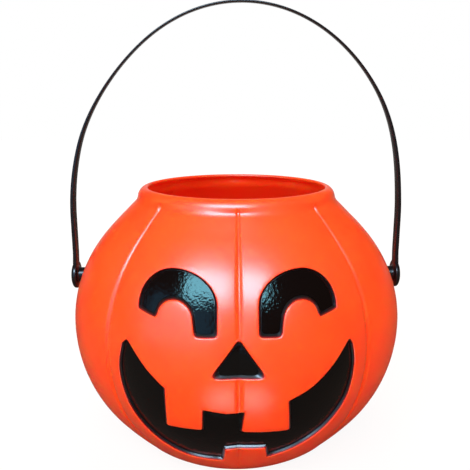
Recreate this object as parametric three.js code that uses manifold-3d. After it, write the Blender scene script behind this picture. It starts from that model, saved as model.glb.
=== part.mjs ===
// Light-up pumpkin pail: a ribbed round pail with a painted jack-o'-lantern face, a snap-in strip
// handle and a battery light unit clamped in its floor.
// Millimetres, +Z up. The origin is the centre of the foot on the table, and the face looks along -Y.

import * as THREE from "three";
import { mergeVertices } from "three/addons/utils/BufferGeometryUtils.js";
import Module from "manifold-3d";

const wasm = await Module();
wasm.setup();

// Clearances
const GAP = 0.3; // between pieces that touch or are fastened together
const SLIDE_GAP = 0.35; // round the switch knob, in its slot
const CUT_PAST = 1; // how far a cutting shape runs past the surface that it cuts

// Pail body: crest radius at the widest point, and half an ellipse below and above it
const BODY_RADIUS = 101.6;
const WIDEST_Z = 80;
const PAIL_HEIGHT = 160;
const LOWER_OVERRUN = 16.7; // the lower half ellipse would end this far below the table
const UPPER_OVERRUN = 8.9; // and the upper one this far above the rim
const WALL = 1.8;

// Lobes between the vertical grooves
const LOBES = 8;
const GROOVE_DEPTH = 3;
const COLLAR_GROOVE_DEPTH = 1; // what is left of the groove where it meets the collar
const GROOVE_FADE_HEIGHT = 20; // height over which the groove fades, above the foot and below the collar

// Collar and rim
const RIM_BORE_RADIUS = 54.6;
const LIP_RADIUS = 0.9; // rounding of the rim's inner top edge
const LIP_DROP = 0.5; // straight bore under that rounding
const BEAD_WIDTH = 6.2; // the collar swells out this far from the bore, as a rounded bead
const COLLAR_HEIGHT = 6.8;
const SHOULDER_HEIGHT = 10.2; // straight shoulder between the ellipse and the collar

// Foot ring and the raised floor inside it
const FLOOR_Z = 9;
const BODY_START_Z = 2.5;
const FOOT_INSET = 6; // from the body's lowest row in to the foot's flat ring
const FOOT_WIDTH = 6.3;
const FOOT_EDGE = 2.2; // width of the rounded outer edge of the foot
const FOOT_LEAN = 4.5; // the sloping wall from foot to floor leans in this far

// Face: pockets drawn straight back along Y, with painted floors
const POCKET_DEPTH = 2.2;
const PAINT_THICKNESS = 0.5;
const FACE_AXIS_X = -0.6;
const FACE_LOW_Z = 12; // nothing of the face reaches lower
const FACE_UNIT = 1; // length of one unit in the drawings of the eyes, nose and mouth

// Handle: a flat strip, straight up from the pivots and then a half ellipse
const PIVOT_RISE = 22.5; // pivot axis above the widest point
const PIVOT_FLAT_INSET = 6.6; // flat seat on the pail wall for the hub, in from the crest radius
const PIVOT_FLAT_MARGIN = 0.6;
const PIVOT_PAD_RIM = 1.2; // wall round the flat seat, where it stands out of the leaning side
const PIVOT_PAD_DEPTH = 8;
const PIVOT_RUNNING_GAP = 0.35;
const STRIP_STANDOFF = 7.2; // from the flat seat out to the middle of the strip
const STRIP_THICKNESS = 1.7;
const STRIP_WIDTH = 7.6;
const HANDLE_LEG_HEIGHT = 37.5; // straight part of each leg, above the pivot
const HANDLE_TOP_Z = 268;
const TAB_RADIUS = 8.6; // round tab at each end of the strip
const TAB_PROUD = 1.25; // the tab's domed face stands this far out of the strip's outer face
const TAB_DOME_WIDTH = 4;
const TAB_DOME_HEIGHT = 2;
const TAB_BACK = 0.4; // and its flat face this far inside the strip's inner one
const TAB_EDGE = 0.5;
const HUB_RADIUS = 4.6; // between the tab and the seat
const STUD_RADIUS = 3.1;
const STUD_HEAD_RADIUS = 4.3;
const STUD_TIP_RADIUS = 2.4;
const STUD_HEAD_LENGTH = 2.8;
const STUD_TAPER_LENGTH = 2.1;

// Light unit: cup, clamp ring and lens
const CUP_CLEARANCE = 2.7; // between the door's ear and the cup's bore
const CUP_WALL = 1.8;
const CUP_BASE_Z = 3;
const CUP_BASE_THICKNESS = 1.6;
const FLANGE_THICKNESS = 1.6;
const RING_WALL = 1.2;
const RING_COLLAR_HEIGHT = 3;
const BOARD_LEDGE_WIDTH = 2.4;
const BOARD_LEDGE_THICKNESS = 1.2;
const LENS_WALL = 1.4;
const LENS_RISE = 13;
const LENS_SKIRT_WALL = 1.3;
const LENS_SKIRT_LENGTH = 5.1;

// Screws that clamp the unit through the floor
const SCREW_COUNT = 3;
const SCREW_RADIUS = 1.3;
const SCREW_HEAD_RADIUS = 2.6;
const SCREW_HEAD_HEIGHT = 1.5;
const SCREW_MARGIN = 4.5; // from the cup's outside to the screw's axis
const FLANGE_MARGIN = 4; // from the screw's axis to the flange's edge
const SCREW_BOSS_RADIUS = 3.4;
const SCREW_BOSS_HEIGHT = 6;
const SCREW_BITE = 4.5; // length of thread inside the clamp ring's boss

// Form of every screw head, as shares of its own radius or height
const HEAD_CROWN_SHARE = 0.72;
const HEAD_EDGE_SHARE = 0.55;
const RECESS_REACH_SHARE = 0.55;
const RECESS_WIDTH_SHARE = 0.28;
const RECESS_DEPTH_SHARE = 0.55;

// Circuit board and what it carries
const BOARD_THICKNESS = 1.6;
const LED_RADIUS = 2.5;
const LED_FLANGE_RADIUS = 2.9;
const LED_FLANGE_HEIGHT = 1;
const LED_HEIGHT = 8.6;
const LED_CIRCLE = 12;
const LED_COUNT = 3;
const LED_PIN = 0.5;
const LED_PIN_PITCH = 2.54;
const LED_PIN_TAIL = 1;
const CHIP_RADIUS = 4;
const CHIP_HEIGHT = 1.5;

// Button cells in a row along X, behind the middle of the unit
const CELL_COUNT = 3;
const CELL_RADIUS = 5.8;
const CELL_THICKNESS = 5.4;
const CELL_BUTTON_RADIUS = 3.6;
const CELL_BUTTON_HEIGHT = 0.4;
const CELL_ROW_Y = 8.6;
const CONTACT_THICKNESS = 0.4;
const CONTACT_WIDTH = 8;
const CONTACT_HEIGHT = 9.5;
const SPRING_LENGTH = 3.4;
const SPRING_TURNS = 3;
const SPRING_RADIUS = 3;
const SPRING_WIRE_RADIUS = 0.25;
const BAY_WALL = 1.2;
const END_WALL_LIFT = 2.2; // room under the end walls for the door's tabs
const END_WALL_DROP = 2.4; // the contacts stand this far above the end walls

// Battery door, hinged on two tabs at -X and held by a screw at +X
const DOOR_TAB_WIDTH = 1.2;
const DOOR_TAB_REACH = 1.3;
const DOOR_TAB_THICKNESS = 0.9;
const DOOR_EAR_HALF_WIDTH = 3.4;
const DOOR_EAR_MARGIN = 1; // from the bay's end wall to the ear's screw hole region
const DOOR_SCREW_RADIUS = 1;
const DOOR_SCREW_HEAD_RADIUS = 2;
const DOOR_SCREW_HEAD_HEIGHT = 1.1;
const DOOR_SCREW_BITE = 3.2;
const DOOR_SCREW_GAP = 0.5; // the screw swings out with the door
const DOOR_BOSS_RADIUS = 2.7;
const DOOR_BOSS_ROOF = 1.3;

// Slide switch in the underside
const SWITCH_Y = -11;
const SWITCH_LENGTH = 10;
const SWITCH_DEPTH = 5.4;
const SWITCH_HEIGHT = 4.6;
const SWITCH_WALL = 0.8;
const SWITCH_TRAVEL = 3;
const KNOB_LENGTH = 3.2;
const KNOB_WIDTH = 2.4;
const KNOB_PROUD = 0.8;
const KNOB_CARRIAGE_LENGTH = 4.4;
const KNOB_CARRIAGE_HEIGHT = 1.4;

// Wires
const WIRE_RADIUS = 0.6;

// Facets
const ROUND_STEPS = 32; // round the cup, its ring, the lens and the board
const PIVOT_STEPS = 24; // round the pivots and the cells
const SMALL_STEPS = 12; // round screws, bosses and LEDs
const TINY_STEPS = 8; // round wires and pin holes
const DOME_STEPS = 5; // up the lens
const BODY_ROWS = 15; // up the body
const BEAD_STEPS = 4; // over the rim's bead
const LIP_STEPS = 2; // over the rim's inner edge
const LOBE_STEPS = 6; // round one lobe, drawn closer together beside the grooves
const LOBE_CROWDING = 1.5;
const CORNER_STEPS = 2; // round a corner of the face
const ARCH_STEPS = 32; // over the handle
const TAB_STEPS = 3; // over the domed face of a tab
const WIRE_STEPS = 14; // along a wire
const SPRING_STEPS = 8; // along one turn of the spring

// Working solids

const signedVolume = (geometry) => {
  const at = geometry.attributes.position;
  const index = geometry.index;
  const corners = [new THREE.Vector3(), new THREE.Vector3(), new THREE.Vector3()];
  let volume = 0;
  for (let i = 0; i < index.count; i += 3) {
    corners.forEach((corner, k) => corner.fromBufferAttribute(at, index.getX(i + k)));
    volume += corners[0].dot(corners[1].cross(corners[2])) / 6;
  }
  return volume;
};

// Merges shared corners, drops triangles without area at a pole and turns the faces outwards.
const closed = (geometry) => {
  geometry.deleteAttribute("normal");
  geometry.deleteAttribute("uv");
  const merged = mergeVertices(geometry, 1e-4);
  const index = merged.index;
  const kept = [];
  for (let i = 0; i < index.count; i += 3) {
    const [a, b, c] = [index.getX(i), index.getX(i + 1), index.getX(i + 2)];
    if (a !== b && b !== c && c !== a) {
      kept.push(a, b, c);
    }
  }
  merged.setIndex(kept);
  if (signedVolume(merged) < 0) {
    for (let i = 0; i < kept.length; i += 3) {
      [kept[i + 1], kept[i + 2]] = [kept[i + 2], kept[i + 1]];
    }
    merged.setIndex(kept);
  }
  return merged;
};

const solid = (geometry) => {
  const shape = closed(geometry);
  const mesh = new wasm.Mesh({
    numProp: 3,
    vertProperties: new Float32Array(shape.attributes.position.array),
    triVerts: new Uint32Array(shape.index.array),
  });
  return new wasm.Manifold(mesh);
};

const joined = (...solids) => solids.reduce((sum, next) => sum.add(next));

const cut = (body, ...tools) => tools.reduce((rest, tool) => rest.subtract(tool), body);

const toGeometry = (body) => {
  const mesh = body.getMesh();
  const geometry = new THREE.BufferGeometry();
  geometry.setAttribute("position", new THREE.BufferAttribute(mesh.vertProperties, 3));
  geometry.setIndex(new THREE.BufferAttribute(mesh.triVerts, 1));
  geometry.computeVertexNormals();
  return geometry;
};

// A profile of [radius, z] turned about Z.
const turned = (profile, steps = ROUND_STEPS) => {
  const points = profile.map(([radius, z]) => new THREE.Vector2(radius, z));
  return new THREE.LatheGeometry(points, steps).rotateX(Math.PI / 2);
};

const cylinder = (radius, low, high, x = 0, y = 0, steps = ROUND_STEPS) => {
  const profile = [[0, low], [radius, low], [radius, high], [0, high]];
  return turned(profile, steps).translate(x, y, 0);
};

const box = (low, high) => {
  const size = high.map((value, k) => value - low[k]);
  const middle = high.map((value, k) => (value + low[k]) / 2);
  return new THREE.BoxGeometry(...size).translate(...middle);
};

// Points [x, z] of an outline, extruded along Y from yFront back to yBack.
const drawn = (points, yFront, yBack) => {
  const shape = new THREE.Shape(points.map(([x, z]) => new THREE.Vector2(x, z)));
  const options = { depth: yBack - yFront, bevelEnabled: false, curveSegments: 1 };
  return new THREE.ExtrudeGeometry(shape, options).rotateX(Math.PI / 2).translate(0, yBack, 0);
};

const radians = (degrees) => (degrees * Math.PI) / 180;

const around = (count, startDegrees = 0) =>
  Array.from({ length: count }, (_, k) => radians(startDegrees + (360 * k) / count));

const circle = (radius, steps, x = 0, y = 0) => around(steps).map((angle) =>
  new THREE.Vector2(x + radius * Math.cos(angle), y + radius * Math.sin(angle)));

// Points [x, z] of part of an ellipse, for profiles and outlines.
const arc = (x, z, semiX, semiZ, fromDegrees, toDegrees, steps) => {
  const span = toDegrees - fromDegrees;
  return Array.from({ length: steps + 1 }, (_, k) => {
    const angle = radians(fromDegrees + (span * k) / steps);
    return [x + semiX * Math.cos(angle), z + semiZ * Math.sin(angle)];
  });
};

// Pail body

const LOWER_SEMI = WIDEST_Z + LOWER_OVERRUN;
const UPPER_SEMI = PAIL_HEIGHT - WIDEST_Z + UPPER_OVERRUN;
const COLLAR_FOOT_Z = PAIL_HEIGHT - COLLAR_HEIGHT;
const COLLAR_FOOT_RADIUS = RIM_BORE_RADIUS + BEAD_WIDTH;
const LIP_MIDDLE_RADIUS = RIM_BORE_RADIUS + LIP_RADIUS;

const semiAt = (z) => (z < WIDEST_Z ? LOWER_SEMI : UPPER_SEMI);
const crestRadius = (z) => BODY_RADIUS * Math.sqrt(1 - ((z - WIDEST_Z) / semiAt(z)) ** 2);

const FOOT_OUTER_RADIUS = crestRadius(BODY_START_Z) - FOOT_INSET;
const FOOT_INNER_RADIUS = FOOT_OUTER_RADIUS - FOOT_WIDTH;
const FLOOR_RADIUS = FOOT_INNER_RADIUS - FOOT_LEAN;

// The point of the body's profile at height z, moved inwards by inset along its normal.
const bodyPoint = (z, inset) => {
  const radius = crestRadius(z);
  const normal = new THREE.Vector2(radius / BODY_RADIUS ** 2, (z - WIDEST_Z) / semiAt(z) ** 2).normalize();
  return [radius - inset * normal.x, z - inset * normal.y];
};

// Rows up the body, from just above the foot to the collar, with the shoulder as the last one.
const bodyRows = (inset) => {
  const shoulderZ = COLLAR_FOOT_Z - SHOULDER_HEIGHT;
  const lowAngle = Math.asin((BODY_START_Z - WIDEST_Z) / LOWER_SEMI);
  const highAngle = Math.asin((shoulderZ - WIDEST_Z) / UPPER_SEMI);
  const rows = Array.from({ length: BODY_ROWS }, (_, k) => {
    const angle = lowAngle + ((highAngle - lowAngle) * k) / (BODY_ROWS - 1);
    const semi = angle < 0 ? LOWER_SEMI : UPPER_SEMI;
    return bodyPoint(WIDEST_Z + semi * Math.sin(angle), inset);
  });
  const shoulder = new THREE.Vector2(SHOULDER_HEIGHT, crestRadius(shoulderZ) - COLLAR_FOOT_RADIUS);
  const normal = shoulder.normalize();
  return [...rows, [COLLAR_FOOT_RADIUS - inset * normal.x, COLLAR_FOOT_Z - inset * normal.y]];
};

const grooveDepth = (z) => {
  if (z > COLLAR_FOOT_Z) {
    return 0;
  }
  const low = THREE.MathUtils.smoothstep(z, BODY_START_Z, BODY_START_Z + GROOVE_FADE_HEIGHT);
  const high = THREE.MathUtils.smoothstep(z, COLLAR_FOOT_Z - GROOVE_FADE_HEIGHT, COLLAR_FOOT_Z);
  return low * (GROOVE_DEPTH - (GROOVE_DEPTH - COLLAR_GROOVE_DEPTH) * high);
};

// A turned profile whose body part is pressed in along the grooves.
const lobed = (profile) => {
  const geometry = turned(profile, LOBES * LOBE_STEPS);
  const at = geometry.attributes.position;
  const lobe = (2 * Math.PI) / LOBES;
  for (let i = 0; i < at.count; i += 1) {
    const radius = Math.hypot(at.getX(i), at.getY(i));
    const azimuth = Math.atan2(at.getX(i), -at.getY(i));
    const groove = Math.round(azimuth / lobe) * lobe;
    const offset = (azimuth - groove) / (lobe / 2);
    const u = Math.abs(offset) ** LOBE_CROWDING;
    const turnedTo = groove + (Math.sign(offset) * u * lobe) / 2;
    const dent = radius > RIM_BORE_RADIUS ? grooveDepth(at.getZ(i)) * (1 - u) ** 2 : 0;
    at.setX(i, (radius - dent) * Math.sin(turnedTo));
    at.setY(i, -(radius - dent) * Math.cos(turnedTo));
  }
  return geometry;
};

// A plug of the body's form, inset from its outer surface, for cutting and backing the face.
const insetPlug = (inset) => {
  const rows = bodyRows(inset).filter(([, z]) => z > FACE_LOW_Z);
  const lowest = bodyPoint(FACE_LOW_Z, inset);
  const profile = [[0, lowest[1]], lowest, ...rows, [0, rows[rows.length - 1][1]]];
  return solid(lobed(profile));
};

const outerBody = () => solid(lobed([
  [0, FLOOR_Z],
  [FLOOR_RADIUS, FLOOR_Z],
  [FOOT_INNER_RADIUS, 0],
  [FOOT_OUTER_RADIUS, 0],
  [FOOT_OUTER_RADIUS + FOOT_EDGE, FOOT_EDGE / 4],
  ...bodyRows(0).slice(0, -1),
  ...arc(LIP_MIDDLE_RADIUS, COLLAR_FOOT_Z, BEAD_WIDTH - LIP_RADIUS, COLLAR_HEIGHT, 0, 90, BEAD_STEPS),
  [0, PAIL_HEIGHT],
]));

const hollow = () => {
  // The sloping wall between floor and foot keeps its thickness.
  const floorTopZ = FLOOR_Z + WALL;
  const across = (WALL * Math.hypot(FLOOR_Z, FOOT_LEAN)) / FLOOR_Z;
  const slopeAt = (z) => FLOOR_RADIUS + ((FLOOR_Z - z) * FOOT_LEAN) / FLOOR_Z + across;
  // So does the bead, from the shoulder up to the rim's lip.
  const rows = bodyRows(WALL);
  const [beadRadius, beadZ] = rows.pop();
  const beadHeight = PAIL_HEIGHT - LIP_RADIUS - LIP_DROP - beadZ;
  return solid(lobed([
    [0, floorTopZ],
    [slopeAt(floorTopZ), floorTopZ],
    [slopeAt(WALL), WALL],
    [FOOT_OUTER_RADIUS, WALL],
    ...rows,
    ...arc(RIM_BORE_RADIUS, beadZ, beadRadius - RIM_BORE_RADIUS, beadHeight, 0, 90, BEAD_STEPS),
    ...arc(LIP_MIDDLE_RADIUS, PAIL_HEIGHT - LIP_RADIUS, LIP_RADIUS, LIP_RADIUS, 180, 90, LIP_STEPS),
    [LIP_MIDDLE_RADIUS, PAIL_HEIGHT + CUT_PAST],
    [0, PAIL_HEIGHT + CUT_PAST],
  ]));
};

// Face outlines in [x, z], drawn from the table up in face units. Sharp corners carry their own
// radius as a third number, and the eyes and the nose are drawn from the middle of the face.

const along = (points, steps) => {
  const curve = new THREE.SplineCurve(points.map(([x, z]) => new THREE.Vector2(x, z)));
  return curve.getPoints(steps).map((point) => [point.x, point.y]);
};

// Half an arch: a long inner leg, a round top and a short outer end cut on the slant.
const eyeOutline = [
  [10.2, 98.9, 1.5],
  ...arc(30.9, 113, 20.7, 15.6, 180, 90, 6),
  ...arc(30.9, 109.6, 19.1, 19, 84, 4, 6),
  [49.9, 108.6, 0.9],
  [41, 106.3, 1.2],
  ...arc(31.2, 106.3, 9, 9, 14, 176, 8),
  [21.2, 98.9, 1.5],
];

const noseOutline = [
  [0.4, 97.6, 1.2],
  [-14, 78.3, 1.5],
  [14.2, 78.3, 1.5],
];

// A wide grin with two upper teeth and one lower tooth.
const mouthOutline = [
  [-57.2, 92, 1.2],
  ...along([[-55.3, 90], [-46.6, 79.4], [-38.6, 71.9]], 5),
  [-37.3, 70.9, 0.9],
  [-37.2, 47.1, 1.3],
  [-18.7, 47, 1.3],
  [-18.2, 60.4, 0.9],
  [-6.5, 57.9],
  [-1.5, 58],
  [2.6, 58.7, 0.9],
  [1.2, 45.2, 1.3],
  [26, 45.7, 1.5],
  [24.8, 64.9, 0.9],
  ...along([[26.2, 65.6], [36.7, 71.2], [46.9, 80.1], [54.6, 89.2]], 6),
  [56.8, 92, 1.2],
  ...along([[58.8, 88.6], [60.2, 76], [56.6, 57.5], [45.8, 41.6], [30.5, 30.2], [17.8, 24]], 15),
  [15.4, 22.7, 0.6],
  [14.2, 32.6, 0.9],
  [-7.3, 31.2, 0.9],
  [-8.3, 19.6, 0.6],
  ...along([[-11, 19.7], [-28, 23.5], [-44.5, 34.4], [-57, 51.4], [-62.2, 72.5], [-60, 89]], 16),
];

// A drawing at its real size, with x running from axisX towards the given side.
const toSize = (drawing, axisX, side) => drawing.map(([x, z, radius]) => [
  axisX + side * x * FACE_UNIT,
  z * FACE_UNIT,
  radius && radius * FACE_UNIT,
]);

const faceOutlines = {
  left_eye: toSize(eyeOutline, FACE_AXIS_X, -1),
  right_eye: toSize(eyeOutline, FACE_AXIS_X, 1),
  nose: toSize(noseOutline, FACE_AXIS_X, 1),
  mouth: toSize(mouthOutline, 0, 1),
};

// Moves every side of an outline outwards by grow, then rounds the corners that carry a radius.
const grown = (outline, grow, rounded = true) => {
  const count = outline.length;
  const points = outline.map(([x, z]) => new THREE.Vector2(x, z));
  const facing = THREE.ShapeUtils.area(points) > 0 ? 1 : -1;
  const sideNormal = (k) => {
    const side = points[(k + 1) % count].clone().sub(points[k]).normalize();
    return new THREE.Vector2(side.y, -side.x).multiplyScalar(facing);
  };
  const moved = points.map((point, k) => {
    const before = sideNormal((k + count - 1) % count);
    const after = sideNormal(k);
    const middle = before.clone().add(after).normalize();
    return point.clone().addScaledVector(middle, grow / middle.dot(after));
  });
  return moved.flatMap((point, k) => {
    const radius = outline[k][2];
    if (!radius || !rounded) {
      return [[point.x, point.y]];
    }
    const back = moved[(k + count - 1) % count].clone().sub(point);
    const on = moved[(k + 1) % count].clone().sub(point);
    const half = Math.abs(back.angleTo(on)) / 2;
    const reach = Math.min(radius / Math.tan(half), back.length() * 0.45, on.length() * 0.45);
    const start = point.clone().addScaledVector(back.normalize(), reach);
    const end = point.clone().addScaledVector(on.normalize(), reach);
    const bend = new THREE.QuadraticBezierCurve(start, point, end);
    return bend.getPoints(CORNER_STEPS).map((at) => [at.x, at.y]);
  });
};

const FACE_FRONT_Y = -BODY_RADIUS - CUT_PAST;
const FACE_BACK_Y = -BODY_RADIUS / 2; // behind the floor of every pocket
const faceBlock = (outline, grow, rounded) =>
  solid(drawn(grown(outline, grow, rounded), FACE_FRONT_Y, FACE_BACK_Y));

// Pivots of the handle, on flat seats at both sides

const PIVOT_Z = WIDEST_Z + PIVOT_RISE;
const PIVOT_FLAT_X = BODY_RADIUS - PIVOT_FLAT_INSET;
const PIVOT_FLAT_RADIUS = HUB_RADIUS + PIVOT_FLAT_MARGIN;
const PIVOT_HOLE_RADIUS = STUD_RADIUS + PIVOT_RUNNING_GAP;

// A profile of [radius, distance from the middle] turned about the pivot axis, on one side.
const alongX = (profile, side) => {
  const geometry = turned(profile, PIVOT_STEPS).rotateY(Math.PI / 2);
  return solid(side > 0 ? geometry : geometry.rotateZ(Math.PI)).translate([0, 0, PIVOT_Z]);
};

const onBothSides = (radius, from, to) => [-1, 1].map((side) =>
  alongX([[0, from], [radius, from], [radius, to], [0, to]], side));

// Heights and radii of the light unit that the pail's floor has to fit

const CUP_FLOOR_Z = CUP_BASE_Z + CUP_BASE_THICKNESS;
const CUP_ROOT_Z = CUP_FLOOR_Z - CUP_BASE_THICKNESS / 2; // walls on the floor start inside it

// The cell row runs from the spring at -X to the plain contact at +X.
const CELL_PITCH = CELL_THICKNESS + GAP;
const ROW_HALF = (CELL_COUNT * CELL_PITCH - GAP) / 2;
const POSITIVE_X = ROW_HALF + GAP;
const NEGATIVE_X = -ROW_HALF - GAP - SPRING_LENGTH - GAP - CONTACT_THICKNESS;
const BAY_START_X = NEGATIVE_X - GAP;
const BAY_END_X = POSITIVE_X + CONTACT_THICKNESS + GAP;
const BAY_HALF_WIDTH = CELL_RADIUS + GAP;

// The door fills the bay's opening and ends in a narrow ear for its screw.
const DOOR_SCREW_X = BAY_END_X + BAY_WALL + DOOR_EAR_MARGIN + DOOR_EAR_HALF_WIDTH;
const DOOR_EAR_END_X = DOOR_SCREW_X + DOOR_EAR_HALF_WIDTH;

const CUP_BORE = Math.hypot(DOOR_EAR_END_X, CELL_ROW_Y + DOOR_EAR_HALF_WIDTH) + CUP_CLEARANCE;
const CUP_RADIUS = CUP_BORE + CUP_WALL;
const SCREW_CIRCLE = CUP_RADIUS + SCREW_MARGIN;
const FLANGE_RADIUS = SCREW_CIRCLE + FLANGE_MARGIN;
const CUP_HOLE_RADIUS = CUP_RADIUS + GAP;
const SCREW_HOLE_RADIUS = SCREW_RADIUS + GAP;
const screwPlaces = around(SCREW_COUNT, 90).map((angle) => [
  SCREW_CIRCLE * Math.cos(angle),
  SCREW_CIRCLE * Math.sin(angle),
]);

const pailShell = () => {
  const outlines = Object.values(faceOutlines);
  const seatInnerX = PIVOT_FLAT_X - WALL;
  const pastCrest = BODY_RADIUS + CUT_PAST;
  const padRadius = PIVOT_FLAT_RADIUS + PIVOT_PAD_RIM;
  const pads = onBothSides(padRadius, PIVOT_FLAT_X - PIVOT_PAD_DEPTH, PIVOT_FLAT_X);
  const behindSeats = onBothSides(padRadius, seatInnerX, pastCrest);
  const wells = onBothSides(PIVOT_FLAT_RADIUS, seatInnerX - PIVOT_PAD_DEPTH, seatInnerX);
  const backing = outlines.map((outline) => faceBlock(outline, WALL, false));
  const behindPockets = cut(insetPlug(POCKET_DEPTH + WALL), ...behindSeats);
  const inside = joined(cut(hollow(), ...backing, ...behindSeats), behindPockets, ...wells);
  const pocketFloor = insetPlug(POCKET_DEPTH);
  const pockets = outlines.map((outline) => faceBlock(outline, 0).subtract(pocketFloor));
  const seats = onBothSides(PIVOT_FLAT_RADIUS, PIVOT_FLAT_X, pastCrest);
  const pivotHoles = onBothSides(PIVOT_HOLE_RADIUS, seatInnerX - CUT_PAST, PIVOT_FLAT_X + CUT_PAST);
  const floorHole = (radius, x, y, steps) =>
    solid(cylinder(radius, FLOOR_Z - CUT_PAST, FLOOR_Z + WALL + CUT_PAST, x, y, steps));
  const cupHole = floorHole(CUP_HOLE_RADIUS, 0, 0, ROUND_STEPS);
  const screwHoles = screwPlaces.map(([x, y]) => floorHole(SCREW_HOLE_RADIUS, x, y, SMALL_STEPS));
  const outer = joined(outerBody(), ...pads);
  return cut(outer, inside, ...pockets, ...seats, ...pivotHoles, cupHole, ...screwHoles);
};

const faceFilm = (outline) => {
  const front = insetPlug(POCKET_DEPTH - GAP - PAINT_THICKNESS);
  const back = insetPlug(POCKET_DEPTH - GAP);
  return faceBlock(outline, -GAP).intersect(front).subtract(back);
};

// Handle

const STRIP_X = PIVOT_FLAT_X + STRIP_STANDOFF;
const HANDLE_LEG_TOP_Z = PIVOT_Z + HANDLE_LEG_HEIGHT;
const ARCH_RISE = HANDLE_TOP_Z - HANDLE_LEG_TOP_Z - STRIP_THICKNESS / 2;

// One face of the strip, from the left pivot over the top to the right pivot.
const stripLine = (offset) => [
  [-STRIP_X - offset, PIVOT_Z],
  ...arc(0, HANDLE_LEG_TOP_Z, STRIP_X + offset, ARCH_RISE + offset, 180, 0, ARCH_STEPS),
  [STRIP_X + offset, PIVOT_Z],
];

const handle = () => {
  const outline = [...stripLine(STRIP_THICKNESS / 2), ...stripLine(-STRIP_THICKNESS / 2).reverse()];
  const strip = solid(drawn(outline, -STRIP_WIDTH / 2, STRIP_WIDTH / 2));
  const hubStart = PIVOT_FLAT_X + GAP;
  const tabBack = STRIP_X - STRIP_THICKNESS / 2 - TAB_BACK;
  const tabFace = STRIP_X + STRIP_THICKNESS / 2 + TAB_PROUD;
  const headStart = PIVOT_FLAT_X - WALL - GAP;
  const end = [
    [0, headStart - STUD_HEAD_LENGTH],
    [STUD_TIP_RADIUS, headStart - STUD_HEAD_LENGTH],
    [STUD_HEAD_RADIUS, headStart - STUD_HEAD_LENGTH + STUD_TAPER_LENGTH],
    [STUD_HEAD_RADIUS, headStart],
    [STUD_RADIUS, headStart],
    [STUD_RADIUS, hubStart],
    [HUB_RADIUS, hubStart],
    [HUB_RADIUS, tabBack],
    [TAB_RADIUS - TAB_EDGE, tabBack],
    [TAB_RADIUS, tabBack + TAB_EDGE],
    ...arc(
      TAB_RADIUS - TAB_DOME_WIDTH, tabFace - TAB_DOME_HEIGHT,
      TAB_DOME_WIDTH, TAB_DOME_HEIGHT, 0, 90, TAB_STEPS),
    [0, tabFace],
  ];
  return joined(strip, alongX(end, -1), alongX(end, 1));
};

// Light unit

const FLANGE_TOP_Z = FLOOR_Z - GAP;
const FLANGE_BASE_Z = FLANGE_TOP_Z - FLANGE_THICKNESS;
const RING_BASE_Z = FLOOR_Z + WALL + GAP;
const CELL_Z = CUP_FLOOR_Z + GAP + CELL_RADIUS;
const LEDGE_Z = CELL_Z + CELL_RADIUS + GAP;
const LEDGE_TOP_Z = LEDGE_Z + BOARD_LEDGE_THICKNESS;
const BOARD_Z = LEDGE_TOP_Z + GAP;
const BOARD_TOP_Z = BOARD_Z + BOARD_THICKNESS;
const CUP_TOP_Z = BOARD_TOP_Z + LENS_SKIRT_LENGTH;
const CONTACT_BASE_Z = CUP_FLOOR_Z + GAP;
const CONTACT_TOP_Z = CONTACT_BASE_Z + CONTACT_HEIGHT;

const doorOutline = (gap) => {
  const half = BAY_HALF_WIDTH - gap;
  const ear = DOOR_EAR_HALF_WIDTH - gap;
  const startX = BAY_START_X + gap;
  const earX = BAY_END_X - gap;
  const endX = DOOR_EAR_END_X - gap;
  return [
    [startX, -half], [earX, -half], [earX, -ear], [endX, -ear],
    [endX, ear], [earX, ear], [earX, half], [startX, half],
  ].map(([x, y]) => new THREE.Vector2(x, y + CELL_ROW_Y));
};

// An outline in X and Y, raised from low to high, with any holes given as outlines too.
const plate = (points, low, high, holes = []) => {
  const shape = new THREE.Shape(points);
  shape.holes = holes.map((hole) => new THREE.Path(hole));
  const options = { depth: high - low, bevelEnabled: false, curveSegments: 1 };
  return new THREE.ExtrudeGeometry(shape, options).translate(0, 0, low);
};

const SWITCH_BASE_Z = CUP_FLOOR_Z + GAP;
const SWITCH_TOP_Z = SWITCH_BASE_Z + SWITCH_HEIGHT;
const SLOT_HALF_LENGTH = (KNOB_LENGTH + SWITCH_TRAVEL) / 2 + SLIDE_GAP;
const SLOT_HALF_WIDTH = KNOB_WIDTH / 2 + SLIDE_GAP;
const KNOB_REST_X = -SWITCH_TRAVEL / 2;
const switchBox = (margin, low, high) => box(
  [-SWITCH_LENGTH / 2 - margin, SWITCH_Y - SWITCH_DEPTH / 2 - margin, low],
  [SWITCH_LENGTH / 2 + margin, SWITCH_Y + SWITCH_DEPTH / 2 + margin, high]);

const cup = () => solid(turned([
  [0, CUP_BASE_Z],
  [CUP_RADIUS, CUP_BASE_Z],
  [CUP_RADIUS, FLANGE_BASE_Z],
  [FLANGE_RADIUS, FLANGE_BASE_Z],
  [FLANGE_RADIUS, FLANGE_TOP_Z],
  [CUP_RADIUS, FLANGE_TOP_Z],
  [CUP_RADIUS, CUP_TOP_Z],
  [CUP_BORE, CUP_TOP_Z],
  [CUP_BORE, LEDGE_TOP_Z],
  [CUP_BORE - BOARD_LEDGE_WIDTH, LEDGE_TOP_Z],
  [CUP_BORE - BOARD_LEDGE_WIDTH, LEDGE_Z],
  [CUP_BORE, LEDGE_Z - BOARD_LEDGE_WIDTH / 2],
  [CUP_BORE, CUP_FLOOR_Z],
  [0, CUP_FLOOR_Z],
]));

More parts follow.
